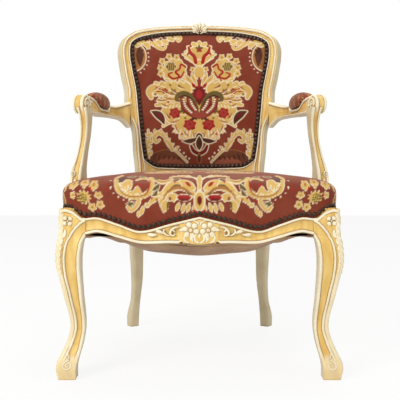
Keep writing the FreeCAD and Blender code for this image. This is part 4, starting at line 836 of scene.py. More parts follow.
def build_crest():
    clay = Clay()
    rows, tones = [], []
    line = crest_line()
    line = np.vstack([line, (line[:-1] * (-1, 1, -1, 1))[::-1]])
    for iu, iv, ou, ov in line:
        width = math.hypot(ou - iu, ov - iv)
        du, dv = (ou - iu) / width, (ov - iv) / width
        points, paints = spread(frame_profile(0.0, width, 0.0))
        rows.append(back_point(iu + du * points[:, 0], iv + dv * points[:, 0], points[:, 1]))
        tones.append(paints)
    clay.loft(np.array(rows), np.array(tones))
    chart = back_chart()
    for side in (-1, 1):
        def half(a, b, side=side):
            return chart(side * np.asarray(a, float), b)
        for angle, length, width in ((90, 30, 12), (58, 30, 12), (28, 27, 11), (4, 22, 8)):
            if angle == 90 and side < 0:
                continue
            a = math.radians(angle)
            drop(clay, half, (0.25 * length * math.cos(a), 477 + 0.25 * length * math.sin(a)),
                 (length * math.cos(a), 478 + 0.98 * length * math.sin(a)), width, 6.5)
        carve(clay, half, [(2, 470, 3, 3), (9, 474, 4.5, 4), (17, 474, 4, 3), (23, 479, 2, 2)])
        for k, (a, b) in enumerate(((27, 491.5), (35, 492), (43, 491), (51, 491.5))):
            drop(clay, half, (a - 4, b), (a + 5, b + (2.4 if k % 2 else -0.6)), 4.6 - 0.6 * k,
                3.0 - 0.4 * k)
    flower(clay, chart, 0, 482, 8.5, 5, math.radians(90), 8.0, 0.4)
    clay.piece("crest_rail", paint, "painted_beech", ("crest_rail",))


def lower_rail_top(u):
    share = np.clip(np.abs(u) / (STILE_AT_SEAT + 4), 0, 1)
    return LOWER_RAIL_TOP + LOWER_CORNER_RISE * np.maximum(0.0,
        (share - LOWER_CORNER_START) / (1 - LOWER_CORNER_START)) ** 2


def build_lower_back_rail():
    clay = Clay()
    rows, tones = [], []
    for u in np.linspace(-STILE_AT_SEAT - 2, STILE_AT_SEAT + 2, 160):
        top, low = float(lower_rail_top(u)), LOWER_RAIL_BOTTOM
        anchors = [(top + 14, -5, 2, 0, PLAIN), (top + 0.4, -5, 1, 0, GROOVE), (top, -1, 6, 1.5, CREAM),
                   (top - 4, -0.9, 2, 0, GROOVE),
                   (top - 5.6, -1.9, 10, -2, GOLD), (low + 12, -2, 2, 0, GROOVE),
                   (low + 10, -1, 5, 1, CREAM), (low + 3, -2, 2, 0, CREAM),
                   (low, -5, 4, 0, PLAIN), (low, -28, 5, 0, PLAIN), (top + 14, -28, 4, 0, PLAIN)]
        points, paints = spread(anchors)
        rows.append(back_point(u, points[:, 0], points[:, 1]))
        tones.append(paints)
    clay.loft(np.array(rows), np.array(tones))
    clay.piece("lower_back_rail", paint, "painted_beech", ("lower_back_rail",))


# Arms

ARM_STATIONS = [
    (198, 201, 34, 30, 578, 652), (217, 189, 36, 30, 598, 645), (233, 171, 55, 30, 604, 640),
    (241, 146, 80, 30, 605, 638),
    (242, 96, 91, 31, 604, 637), (241, 66, 91, 32, 603, 634), (240, 40, 89, 32, 602, 623),
    (242, -20, 86, 33, 601, 621),
    (247, -94, 81, 32, 601, 623), (253, -130, 76, 30, 602, 638), (260.5, -156, 72, 28, 603, 644),
    (268, -178, 70, 28, 604, 647)]
SUPPORT_STATIONS = [
    (385, 295, -169, 25, 38), (415, 297, -169, 27, 40), (448, 297.5, -169, 29, 38),
    (468, 295, -166, 27, 32), (490, 290, -163, 23, 28),
    (518, 284, -163, 19, 26), (545, 279, -167, 19, 26), (575, 276.5, -175, 20.5, 28),
    (600, 277, -188, 23, 34),
    (617, 279.5, -197, 25, 40)]


def arm_rows():
    rows, tones = [], []
    for x, y, heading, thick, low, high in refine(ARM_STATIONS, 2.4, [0, 1]):
        a = math.radians(heading)
        middle, quirk = (low + high) / 2, 1.4
        anchors = [
            (3, low, 2, 0, CREAM), (0, low + 2.6, 5, -1.1, CREAM), (0, low + 7, 2, 0.3, GROOVE),
            (1.4, low + 7 + quirk, 8, 1.0, GOLD),
            (2.0, middle, 8, 0.7, GOLD), (1.4, high - 7 - quirk, 2, 0.3, GROOVE),
            (0, high - 7, 5, -1.1, CREAM), (0, high - 2.6, 2, 0, CREAM),
            (3, high, 6, 0, CREAM), (thick - 4, high, 3, 0, CREAM), (thick, high - 5, 6, 0, PLAIN),
            (thick, low + 5, 3, 0, PLAIN),
            (thick - 4, low, 6, 0, PLAIN)]
        points, paints = [], []
        for p, q in zip(anchors, anchors[1:] + anchors[:1]):
            for k in range(p[2]):
                t = k / p[2]
                points.append((p[0] + (q[0] - p[0]) * t + p[3] * math.sin(math.pi * t),
                    p[1] + (q[1] - p[1]) * t))
                paints.append(p[4])
        d, z = np.array(points).T
        rows.append(np.column_stack([x + d * math.sin(a), y + d * math.cos(a), z]))
        tones.append(paints)
    return np.array(rows), np.array(tones, float)


def knuckle_chart(face):
    """Flat side of the knuckle: face 0 towards the sitter, 1 away; places run forwards and up from its
    middle."""
    outward = np.array([math.cos(TOE_OUT_ANGLE), math.sin(TOE_OUT_ANGLE), 0])
    forward = np.array([outward[1], -outward[0], 0])
    middle = np.array([SCROLL_X, SCROLL_Y, SCROLL_HEIGHT]) + outward * (SCROLL_WIDTH * face)

    def chart(p, q):
        p, q = np.asarray(p, float), np.asarray(q, float)
        place = middle + p[..., None] * forward + q[..., None] * np.array([0, 0, 1.0])
        return place, np.broadcast_to(outward * (1 if face else -1), place.shape)
    return chart


def build_arms():
    clay = Clay()
    clay.loft(*arm_rows())
    outward = np.array([math.cos(TOE_OUT_ANGLE), math.sin(TOE_OUT_ANGLE), 0])
    forward = np.array([outward[1], -outward[0], 0])
    middle = np.array([SCROLL_X, SCROLL_Y, SCROLL_HEIGHT])
    rim = [(0.6, 2, GOLD), (0.6, 16, GOLD), (0.2, 17.5, GROOVE), (-0.2, 18.5, CREAM), (0, 21, CREAM),
           (1.5, 22.6, CREAM), (3.5, 23.2, CREAM),
           (6, 22.6, CREAM), (7.4, 21.4, GROOVE), (9, 21, GOLD), (14, 20.2, GOLD), (19, 21, GOLD),
           (20.6, 21.4, GROOVE), (22, 22.6, CREAM),
           (24.5, 23.2, CREAM), (26.5, 22.6, CREAM), (28, 21, CREAM), (28.2, 18.5, CREAM),
           (27.8, 17.5, GROOVE), (27.4, 16, GOLD),
           (27.4, 2, GOLD)]
    turn = np.linspace(0, 2 * np.pi, 72, endpoint=False)
    rows = [middle + outward * w + np.outer(np.cos(turn) * r, forward)
        + np.outer(np.sin(turn) * r, (0, 0, 1)) for w, r, _ in rim]
    clay.loft(np.array(rows), np.repeat(np.array([t for _, _, t in rim], float)[:, None], len(turn),
        axis=1))
    for face in (0, 1):
        curl(clay, knuckle_chart(face), (0, 0), 200, -1.7, 15.5, 5.5, 3.2)
    front = knuckle_chart(0)
    drop(clay, front, (-16, 17), (-34, 13), 7, 3.4, 0.1)
    drop(clay, front, (-14, 12), (-28, 5), 6, 2.8, 0.1)
    clay.pair("arm", paint, "painted_beech", "arm")


def build_supports():
    clay = Clay()
    rows, tones = [], []
    for z, x, y, width, depth in refine(SUPPORT_STATIONS, 2.4, [0]):
        out, back = (math.cos(TOE_OUT_ANGLE), math.sin(TOE_OUT_ANGLE)), (-math.sin(TOE_OUT_ANGLE),
            math.cos(TOE_OUT_ANGLE))
        h, b = width / 2, 0.24 * width
        anchors = [
            (-h, 2, 2, 0, CREAM), (-h + 1.2, 0, 5, -1.0, CREAM), (-h + b, 0, 2, 0.2, GROOVE),
            (-h + b + 1.4, 1.2, 9, 1.3, GOLD),
            (h - b - 1.4, 1.2, 2, 0.2, GROOVE), (h - b, 0, 5, -1.0, CREAM), (h - 1.2, 0, 2, 0, CREAM),
            (h, 2, 8, 0, CREAM),
            (h, depth - 5, 2, 0, PLAIN), (h - 5, depth, 4, 0, PLAIN), (5 - h, depth, 2, 0, PLAIN),
            (-h, depth - 5, 8, 0, PLAIN)]
        points, paints = spread(anchors)
        p, q = points.T
        rows.append(np.column_stack([x + p * out[0] + q * back[0], y + p * out[1] + q * back[1],
            np.full(len(p), z)]))
        tones.append(paints)
    clay.loft(np.array(rows), np.array(tones))

    def chart(p, z):
        p, z = np.asarray(p, float), np.asarray(z, float)
        table = np.array(SUPPORT_STATIONS, float)
        x, y = smooth(table[:, [0, 1]], z), smooth(table[:, [0, 2]], z)
        place = np.stack([x + p * math.cos(TOE_OUT_ANGLE), y + p * math.sin(TOE_OUT_ANGLE), z], -1)
        return place, np.broadcast_to((math.sin(TOE_OUT_ANGLE), -math.cos(TOE_OUT_ANGLE), 0.0), place.shape)

    curl(clay, chart, (7, 457), 60, 1.5, 7, 2.8, 2.6)
    carve(clay, chart, [(10.5, 461, 2.6, 2.4), (10, 472, 3, 2.4), (7, 486, 2.4, 2), (6, 500, 0.8, 0.8)])
    drop(clay, chart, (0, 446), (0, 424), 12, 3.4)
    clay.pair("arm_support", paint, "painted_beech", "arm_support")


build_front_leg()
build_front_rail()
build_side_rails()
build_rear_legs()
build_crest()
build_lower_back_rail()
build_arms()
build_supports()
for cloth_nails in ("seat_nails", "back_nails", "outside_nails"):
    dome_nails(cloth_nails, cloth_nails, 3.9, bronze)
for node, material in (("rear_rail", paint), ("corner_blocks", beech), ("block_screws", steel),
        ("seat_springs", steel)):
    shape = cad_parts[node]
    shape.data.materials.clear()
    shape.data.materials.append(material)


# Woven figure

IVORY, GILT, RED, WINE = srgb(238, 222, 186), srgb(216, 178, 98), srgb(160, 22, 28), srgb(104, 8, 16)
OLIVE, BROWN, ROSE, GROUND = srgb(96, 84, 38), srgb(66, 34, 22), srgb(150, 84, 62), srgb(124, 50, 32)
AMBER = srgb(168, 112, 60)


class Figure:
    """Woven figure: colours and pile height at points of a flat chart, laid on shape by shape."""

    def __init__(self, a, b):
        self.a, self.b = np.asarray(a, float), np.asarray(b, float)
        self.colour = np.tile(np.array(GROUND), (len(self.a), 1))
        self.pile = np.ones(len(self.a))

    def reach(self, shapes, margin):
        """Indexes near the shapes and how far each lies outside their joined outline, negative inside."""
        low = np.min([s[0] for s in shapes], axis=0) - margin
        high = np.max([s[1] for s in shapes], axis=0) + margin
        near = np.flatnonzero((self.a > low[0]) & (self.a < high[0]) & (self.b > low[1])
            & (self.b < high[1]))
        if not len(near):
            return near, np.zeros(0)
        points = np.column_stack([self.a[near], self.b[near]])
        return near, np.min([s[2](points) for s in shapes], axis=0)

    def dye(self, near, cover, colour, pile):
        cover = np.clip(cover, 0, 1)[:, None]
        self.colour[near] = self.colour[near] * (1 - cover) + np.array(colour) * cover
        self.pile[near] = self.pile[near] * (1 - cover[:, 0]) + pile * cover[:, 0]

    def lay(self, shapes, fill, edge=None, rim=0.9, soft=0.45):
        """Joined shapes in one colour, with an outline of another colour round them."""
        near, out = self.reach(shapes, rim + soft)
        if edge is not None:
            self.dye(near, 0.5 + (rim - out) / soft, edge, 0.35)
        self.dye(near, 0.5 - out / soft, fill, 0.15)


def stroke(*stations):
    """Tapered stroke through stations (across, down, half width) of the chart."""
    rows = refine(stations, 1.2, [0, 1]) if len(stations) > 1 else np.array(stations, float)
    low, high = (rows[:, :2] - rows[:, 2:3]).min(0), (rows[:, :2] + rows[:, 2:3]).max(0)

    def outside(points):
        if len(rows) == 1:
            return np.hypot(*(points - rows[0, :2]).T) - rows[0, 2]
        best = np.full(len(points), 1e9)
        for a, b in zip(rows[:-1], rows[1:]):
            run = b[:2] - a[:2]
            t = np.clip(((points - a[:2]) @ run) / max(run @ run, 1e-9), 0, 1)
            gap = points - (a[:2] + t[:, None] * run)
            best = np.minimum(best, np.hypot(gap[:, 0], gap[:, 1]) - (a[2] + (b[2] - a[2]) * t))
        return best
    return low, high, outside


def petal(a, b, size, bend=0.0):
    """Leaf-shaped stroke from a to b, widest in its middle."""
    a, b = np.array(a, float), np.array(b, float)
    side = np.array([-(b - a)[1], (b - a)[0]]) * bend
    return stroke(*[(*(a + (b - a) * t + side * 4 * t * (1 - t)), size * w)
        for t, w in ((0, 0.15), (0.3, 0.8), (0.6, 1), (1, 0.12))])


def blob(a, b, across, down, lobes=0, depth=0.0, turn=0.0):
    """Oval, or a lobed rosette."""
    def outside(points):
        p, q = (points[:, 0] - a) / across, (points[:, 1] - b) / down
        r, angle = np.hypot(p, q), np.arctan2(q, p)
        edge = 1 - depth * (0.5 - 0.5 * np.cos(lobes * (angle - turn))) if lobes else 1.0
        return (r - edge) * min(across, down)
    reach = np.array([across, down])
    return np.array([a, b]) - reach, np.array([a, b]) + reach, outside


def rose(a, b, size):
    """Rows of a rose: lobed flower, curled line and shaded petal."""
    s = size
    line = stroke((a - 0.5 * s, b + 0.1 * s, 0.28), (a - 0.1 * s, b - 0.45 * s, 0.3),
                  (a + 0.42 * s, b - 0.1 * s, 0.28),
                  (a + 0.1 * s, b + 0.4 * s, 0.28), (a - 0.2 * s, b + 0.1 * s, 0.2))
    shade = petal((a - 0.8 * s, b + 0.5 * s), (a - 0.2 * s, b + 0.75 * s), 0.7)
    return [(RED, None, 0, [blob(a, b, s, 0.92 * s, 6, 0.22, 0.3)]), (ROSE, None, 0, [line]),
        (WINE, None, 0, [shade])]


def star(a, b, size):
    """Rows of a five-petalled flower."""
    turns = [k * 1.2566 + 0.3 for k in range(5)]
    arms = [petal((a, b), (a + size * math.cos(t), b + size * math.sin(t)), 0.36 * size) for t in turns]
    return [(GILT, IVORY, 0.45, arms), (AMBER, None, 0, [blob(a, b, 0.28 * size, 0.28 * size)])]


def frond(stem, size, count, side, lean=0.6):
    """Acanthus leaf: shapes of a stem of (across, down) with lobes along one side, or along both for
    side 0."""
    line = refine([(a, b) for a, b in stem], 1.0, [0, 1])
    steps = max(1, len(stem) - 1)
    shapes = [stroke(*[(a, b, size * 0.42 * (1 - 0.75 * k / steps)) for k, (a, b) in enumerate(stem)])]
    for k in range(count):
        t = (k + 0.5) / count
        i = int(t * (len(line) - 2))
        run = unit(line[i + 1] - line[i])
        for s in ((-1, 1) if side == 0 else (side,)):
            out = np.array([-run[1], run[0]]) * s
            length = size * (1.25 - 0.75 * t)
            tip = line[i] + out * length + run * length * lean
            shapes.append(petal(line[i] - run * 0.5, tip, 0.34 * size * (1.15 - 0.5 * t), 0.12 * s))
    return shapes


def beaded(points):
    """Rows of a cream string of beads on a dark band."""
    band = stroke(*[(a, b, 1.2) for a, b in points])
    return [(GROUND, None, 0, [band])] + [(IVORY, None, 0, [blob(a, b, 1.25, 0.85)])
        for a, b in refine(points, 2.1, [0, 1])]


def draw(cloth, *tables):
    """Lay rows of (fill, outline, width of the outline, shapes) on the cloth in their order."""
    for rows in tables:
        for fill, edge, rim, shapes in rows:
            if edge is None:
                cloth.lay(shapes, fill)
            else:
                cloth.lay(shapes, fill, edge, rim)


# Places in the figure, in pixels of the photograph: across from its axis, and down

BACK_SIDE_MEDALLIONS = [
    (AMBER, IVORY, 1.0, [blob(65, 57, 11.5, 13.5)]),
    (srgb(150, 96, 50), None, 0, [blob(66, 57, 8.6, 11)]),
    (BROWN, None, 0, [petal((59, 66), (60, 46), 3.6), petal((59, 60), (55.5, 53), 1.6),
        petal((59, 54), (55.8, 49), 1.3)]),
    *[(IVORY, None, 0, [blob(a, b, 0.75, 0.75)]) for a, b in ((52.4, 49), (51, 53), (50.4, 57),
        (50.8, 61), (52.3, 65), (55, 69), (58.5, 72.5))],
]

BACK_TOP_SPRAYS = [
    (GILT, IVORY, 0.9, frond([(62, 43), (54, 39), (44, 36), (32, 34)], 9, 6, 1, 0.2)),
    (GILT, IVORY, 0.9, frond([(60, 41), (50, 36), (38, 33), (27, 34)], 6, 5, -1, 0.6)),
    (srgb(158, 108, 96), IVORY, 0.5, [blob(44, 36.5, 5.2, 3.6, 5, 0.3)]),
    (WINE, None, 0, [blob(53, 39, 3.2, 2.6, 5, 0.3), petal((36, 34), (44, 33), 1.6)]),
    *[(GILT, IVORY, 0.7, [petal((a, b), (a - 6.4, b + 4.6 - 0.5 * k), 1.7, 0.12),
        petal((a - 1, b - 1), (a - 7.4, b + 0.4), 1.4, -0.1)])
        for k, (a, b) in enumerate(((56, 44), (50, 42.6), (44, 42), (38, 41), (32, 38.6), (26, 36.4)))],
    (GILT, IVORY, 0.5, [stroke((30, 36, 1.6), (23, 35.4, 1.4), (18.4, 38, 1.0), (20.6, 41.4, 0.9),
        (23, 39.6, 0.6))]),
    (GILT, IVORY, 0.5, [stroke((46, 43, 1.4), (41, 47.6, 1.4), (35.4, 49, 1.1), (33.4, 45.6, 0.9),
        (36, 44.6, 0.6))]),
    (WINE, None, 0, [petal((50, 38), (46, 41.6), 1.2), petal((38, 36), (34, 38.6), 1.0),
        petal((28, 36.4), (25, 37.6), 0.7)]),
]

BACK_LOWER_SPRAYS = [
    (srgb(104, 58, 36), AMBER, 0.6, [petal((52, 160), (14, 163), 7.5, 0.1)]),
    (ROSE, None, 0, [petal((44, 164), (16, 163), 4.6, 0.05)]),
    *[(BROWN, None, 0, [petal((46 - 5 * k, 160), (43 - 4.6 * k, 152.5 + 0.8 * k), 1.0)]) for k in range(6)],
    (GILT, IVORY, 0.8, [stroke((12, 162, 0.5), (22, 152, 0.7), (30, 146, 1.0), (34, 137, 1.6),
        (40, 132.6, 1.9), (45.2, 137, 1.7), (43, 142, 1.2), (39.8, 140, 0.8))]),
    *[(GILT, IVORY, 0.6, [petal((a, b), (a - 3.6 + 0.9 * k, b - 3.4), 1.2, 0.1)])
        for k, (a, b) in enumerate(((24, 150), (28, 147), (31, 142), (33.4, 136.6), (38, 132.4),
        (43.6, 132.6)))],
    (GILT, IVORY, 0.6, [stroke((27, 149.6, 1.4), (30, 143.4, 1.6), (33.4, 140.4, 1.2))]),
    (GILT, IVORY, 0.9, frond([(52, 158), (53, 148), (50, 139), (51, 130)], 4.6, 4, 0, 0.6)),
    *[(IVORY, None, 0, [blob(a, b, 1.0, 1.0)]) for a, b in ((23.6, 149), (19.4, 150.2), (15.4, 153),
        (13.4, 156.6), (10, 158.4))],
]

BACK_TOP_FLOWER = [
    *[(GILT, IVORY, 0.8, [petal((4 * math.cos(a), 54 + 3 * math.sin(a)),
        (14.6 * math.cos(a), 54 + 12.6 * math.sin(a)), 3.0)]) for k in range(5)
        for a in (math.radians(-90 + 27 * k),)],
    (GILT, IVORY, 0.8, [blob(0, 55, 12.6, 8.6)]),
    (GILT, IVORY, 0.9, [petal((16.6, 54.4), (2, 66.5), 1.7, 0.12)]),
    (GILT, IVORY, 0.9, [petal((0, 60), (0, 68), 3.2)]),
    (RED, None, 0, [stroke((10.5, 47.5, 1.0), (9, 52.5, 1.6), (5, 56.5, 1.8), (3.4, 62.5, 1.7))]),
    (RED, None, 0, [stroke((9.4, 52, 1.0), (11.6, 54.6, 0.8)), stroke((8.6, 46, 1.2))]),
    (OLIVE, None, 0, [blob(0, 48.9, 4, 4, 5, 0.45, -1.57)]),
    (RED, None, 0, [blob(0, 50.2, 1.6, 1.8)]),
]

BACK_SIDE_FLOWERS = [
    (GILT, IVORY, 0.9, frond([(16, 80), (24, 83), (33, 79), (37, 71)], 5.2, 6, -1, 0.6)),
    (GILT, IVORY, 1.0, [blob(24.6, 70, 12.2, 11.2, 9, 0.13)]),
    (OLIVE, IVORY, 0.5, [blob(28.2, 66.6, 5.4, 4.8, 6, 0.2)]),
    *[(GILT, None, 0, [stroke((25.4 + 1.9 * k, 62.6, 0.24), (24.6 + 1.9 * k, 70, 0.24))])
        for k in range(4)],
    (RED, None, 0, [stroke((13.6, 67, 0.9), (18, 64.4, 1.0), (19.6, 69, 0.9), (23.6, 72, 1.1),
        (20, 76.4, 1.0), (26, 78.6, 1.0), (31, 74.6, 0.9), (27, 72.6, 0.7))]),
    (RED, None, 0, [stroke((15.4, 72, 0.7), (17.4, 76, 0.9), (22, 80.4, 0.7))]),
    *[row for a, b in ((22.6, 57.4), (30.2, 56.6), (37, 61.2), (38.6, 67.6), (38.4, 73.6))
        for row in star(a, b, 3.2)],
    *star(6.6, 69.4, 2.6),
]

BACK_PETALS = [
    *[row for tip, width in (((7.5, 73.4), 2.2), ((14.4, 74.6), 2.6), ((19.6, 79.6), 2.6),
        ((24.6, 86.6), 2.5)) for row in ((GILT, IVORY, 0.8, [petal((2.6, 91), tip, width)]),
        (AMBER, None, 0, [stroke((4, 90, 0.3), (tip[0] * 0.8, 91 + (tip[1] - 91) * 0.8, 0.25))]))],
    (GILT, IVORY, 0.8, [blob(0, 72.6, 4.8, 6.2)]),
    (RED, None, 0, [petal((0, 76.8), (0, 81.5), 1.3)]),
]

BACK_UPPER_WINGS = [
    (GILT, IVORY, 0.9, frond([(12, 97), (24, 93), (36, 90), (47, 88)], 11, 6, -1, 0.35)),
    (GILT, IVORY, 0.9, frond([(18, 96), (30, 93), (42, 91), (50, 93.4)], 7.5, 5, 1, 0.1)),
    (GILT, IVORY, 0.9, [stroke((38, 91, 4.4), (46, 88.6, 3.6), (50, 92, 2.6), (48, 97.6, 1.7))]),
    *rose(34.4, 91, 3.4),
    (RED, None, 0, [petal((37, 90), (44.5, 86.4), 0.7), petal((37, 91.6), (44, 91.6), 0.6)]),
    (OLIVE, None, 0, [blob(26, 92, 3.4, 3.8, 4, 0.5, 0.78)]),
]

BACK_LOWER_WINGS = [
    (GILT, IVORY, 0.9, frond([(14, 110), (24, 106), (34, 104), (43, 105)], 9.5, 6, -1, 0.3)),
    (GILT, IVORY, 0.9, frond([(12, 112), (22, 118), (31, 122), (36, 126)], 10, 6, -1, 0.2)),
    (GILT, IVORY, 0.9, frond([(2, 122), (10, 128), (14, 134), (14, 139)], 9.5, 6, 0, 0.35)),
    (GILT, IVORY, 0.9, [blob(24, 112.6, 15, 10.5, 11, 0.12)]),
    (GILT, IVORY, 0.9, [blob(8.6, 126, 17.5, 13, 13, 0.14)]),
    *[(IVORY, None, 0, [petal((18 + 3.4 * k, 103.4 + 0.5 * k), (20.6 + 3.3 * k, 108.6), 0.8),
        petal((27 - 3.4 * k, 133 + 1.1 * k), (23.6 - 3 * k, 128.4), 0.8)]) for k in range(6)],
    (BROWN, IVORY, 1.0, [petal((35, 124), (47.6, 111.4), 3.6, -0.14)]),
    (WINE, None, 0, [petal((36.6, 121), (44.8, 113.4), 1.4, -0.14)]),
    *rose(24.2, 113, 6.2),
    (OLIVE, None, 0, [blob(16.6, 110.6, 3.3, 3.6, 4, 0.5, 0.5)]),
    *rose(9.4, 124.6, 6.8),
    (BROWN, None, 0, [petal((3, 117), (9, 120.4), 1.5), petal((2, 120), (5, 117), 1.2)]),
    *[row for a, b, c, d in ((14, 95, 30, 86), (18, 95, 38, 88), (22, 99, 36, 96), (30, 99, 44, 99),
        (14, 88, 22, 84), (38, 84, 46, 90), (10, 136, 16, 130), (4, 138, 6, 131), (20, 132, 24, 124),
        (28, 119, 33, 112), (30, 106, 38, 103), (20, 120, 30, 122))
        for row in ((AMBER, None, 0, [petal((a, b), (c, d), 0.75, 0.1)]),
        (IVORY, None, 0, [petal((a + 1, b + 1.6), (c + 0.6, d + 1.8), 0.5, 0.1)]))],
    *[(RED if (a + b) % 2 else OLIVE, None, 0, [blob(a, b, 1.5, 1.2, 4, 0.4)])
        for a, b in ((29, 85), (20, 86), (44, 94), (31, 102), (38, 108), (14, 118), (30, 117),
        (17, 134), (3, 134), (10, 112))],
]

BACK_PALMETTE = [
    (srgb(146, 62, 46), WINE, 0.5, [stroke((17, 99, 2), (14.6, 107, 2.8), (8, 113, 3.2), (0, 115.6, 3)),
        stroke((8, 98, 4), (7, 105, 5), (3, 109, 5))]),
    (WINE, None, 0, [stroke((12.6, 98, 0.5), (10.8, 105, 0.8), (5.4, 111.6, 0.4)),
        stroke((5.6, 99, 0.4), (4.6, 104, 0.7), (1.6, 109, 0.4)),
        stroke((18, 102, 0.3), (15.6, 110, 0.6), (6, 117.4, 0.3))]),
    *beaded(((15.6, 99.4), (13.6, 106.4), (8, 112.4))),
    *beaded(((8.8, 97), (7.6, 103.4), (3.6, 109.6))),
    (GILT, BROWN, 0.5, [stroke((0, 103, 2.4), (0, 107, 1.5), (0, 112, 0.4))]),
    (OLIVE, None, 0, [stroke((0.6, 109, 0.4), (4, 102, 1.2), (9, 95.6, 2.0), (15, 93.4, 2.5),
        (21, 95.4, 2.5), (22.6, 99.6, 1.8), (19.4, 101, 0.9))]),
    (BROWN, None, 0, [stroke((5, 102.4, 0.5), (9.6, 97.6, 0.8), (15, 95.8, 0.9), (20, 97.6, 0.7))]),
    (WINE, None, 0, [blob(0, 93.4, 6.6, 8, 8, 0.16, 0.4), petal((0, 96), (0, 105.5), 2.4)]),
    (RED, None, 0, [blob(0, 94.4, 3.2, 4.4)]),
    (RED, None, 0, [petal((3, 88.4), (7.6, 83), 1.5), petal((0, 88), (0, 82.6), 1.3)]),
]

BACK_FOOT = [
    (BROWN, IVORY, 0.8, [petal((1, 137.6), (16.6, 141), 2.3, 0.1), petal((0, 133), (3, 138), 1.5)]),
    (BROWN, IVORY, 0.8, [petal((0, 136.4), (0, 150), 3.2)]),
    (WINE, IVORY, 0.8, [stroke((8, 146, 1.3), (5.4, 151, 1.9), (0, 154, 1.8))]),
    (BROWN, AMBER, 0.5, [petal((0, 154), (0, 163), 1.9)]),
]

SEAT_BIG_SCROLL = [
    (GILT, IVORY, 0.8, [stroke((63.4, 181.4, 0.9), (58, 178, 1.2), (51, 179.6, 1.6), (47.8, 186.6, 2.2),
        (51.4, 193.4, 2.6), (60, 197.2, 2.7), (69, 197.2, 2.6), (77.6, 193.4, 2.2), (83.4, 185.4, 1.7),
        (84.6, 177.6, 1.3), (80.6, 171.6, 1.0))]),
    (RED, None, 0, [petal((50.6, 181), (52.6, 193), 1.2, 0.1)]),
    (GILT, IVORY, 0.6, [stroke((58, 196, 1.2), (62, 189.6, 1.8), (66, 193, 1.6), (74, 190.6, 0.9))]),
    (srgb(72, 34, 34), None, 0, [blob(77.6, 180, 6, 6.2, 7, 0.25)]),
    (GILT, IVORY, 0.9, frond([(70, 184), (75, 187), (79, 186)], 4, 3, 0, 0.3)),
    *[(IVORY, None, 0, [blob(a, b, 0.85, 0.85)]) for a, b in ((86.2, 193.4), (81.6, 198), (76.8, 200.8),
        (71.2, 201.6), (88.8, 188.4), (90, 182.6))],
    (GILT, IVORY, 0.8, [stroke((62, 197, 1.6), (61.6, 203, 1.7), (65.6, 208.6, 1.6), (70.6, 211.4, 1.5),
        (72.6, 208.4, 1.7))]),
    (GILT, IVORY, 0.6, [petal((57, 207), (60.5, 216), 1.7), petal((62, 212), (63.5, 218), 1.4)]),
]

SEAT_UPPER_CURL = [
    (GILT, IVORY, 0.8, [stroke((50, 176, 1.0), (45, 180.6, 1.7), (37, 184, 1.8), (30, 181.6, 1.6),
        (28.8, 178.6, 1.4))]),
    (OLIVE, None, 0, [petal((46.4, 174.6), (42, 180.4), 2.2)]),
    (GILT, IVORY, 0.9, frond([(10, 174.6), (20, 173), (30, 174.6)], 3.8, 4, -1, 0.4)),
]

SEAT_CENTRE_SCROLLS = [
    (GILT, IVORY, 1.0, [stroke((4, 197.4, 1.6), (9, 190.6, 2.3), (17, 186.8, 2.9), (26, 187.4, 3.2),
        (33.4, 192, 3.3), (37.4, 199.6, 3.0), (37, 207, 2.2))]),
    (GILT, IVORY, 0.9, [petal((36, 192), (45.6, 196.2), 1.6), petal((38, 198), (52, 206), 1.9, -0.1),
        blob(53, 206, 2, 1.9)]),
    (OLIVE, None, 0, [stroke((8.6, 194.6, 0.9), (14, 189.6, 1.2), (24, 187.6, 1.1), (32, 191.6, 0.8))]),
    (GILT, IVORY, 0.8, [petal((33.6, 201), (36.6, 212.5), 3.2)]),
    (OLIVE, None, 0, [petal((31.6, 201), (33, 211.5), 1.0)]),
    (GILT, IVORY, 0.9, [blob(27, 197.6, 6.4, 4.6, 7, 0.25)]),
    (ROSE, None, 0, [blob(29.6, 199.4, 1.7, 1.9)]),
    (RED, IVORY, 0.7, [blob(15.4, 198, 7, 3.5)]),
    (WINE, None, 0, [blob(15.6, 200.4, 5.6, 1.4)]),
    *[(GILT, IVORY, 0.7, [petal((a, b), (c, d), 1.7)]) for a, b, c,
        d in ((10, 204, 12.6, 212.6), (15.4, 204.4, 17.4, 213.5), (20.6, 203.6, 23.6, 211.6),
        (5.6, 206, 5.6, 212.6))],
]

SEAT_SMALL_LEAVES = [
    (GILT, IVORY, 0.8, [petal((4.6, 189), (20, 181.4), 3.4, 0.06)]),
    (RED, None, 0, [petal((8.6, 187.4), (14.6, 184.4), 1.3)]),
]

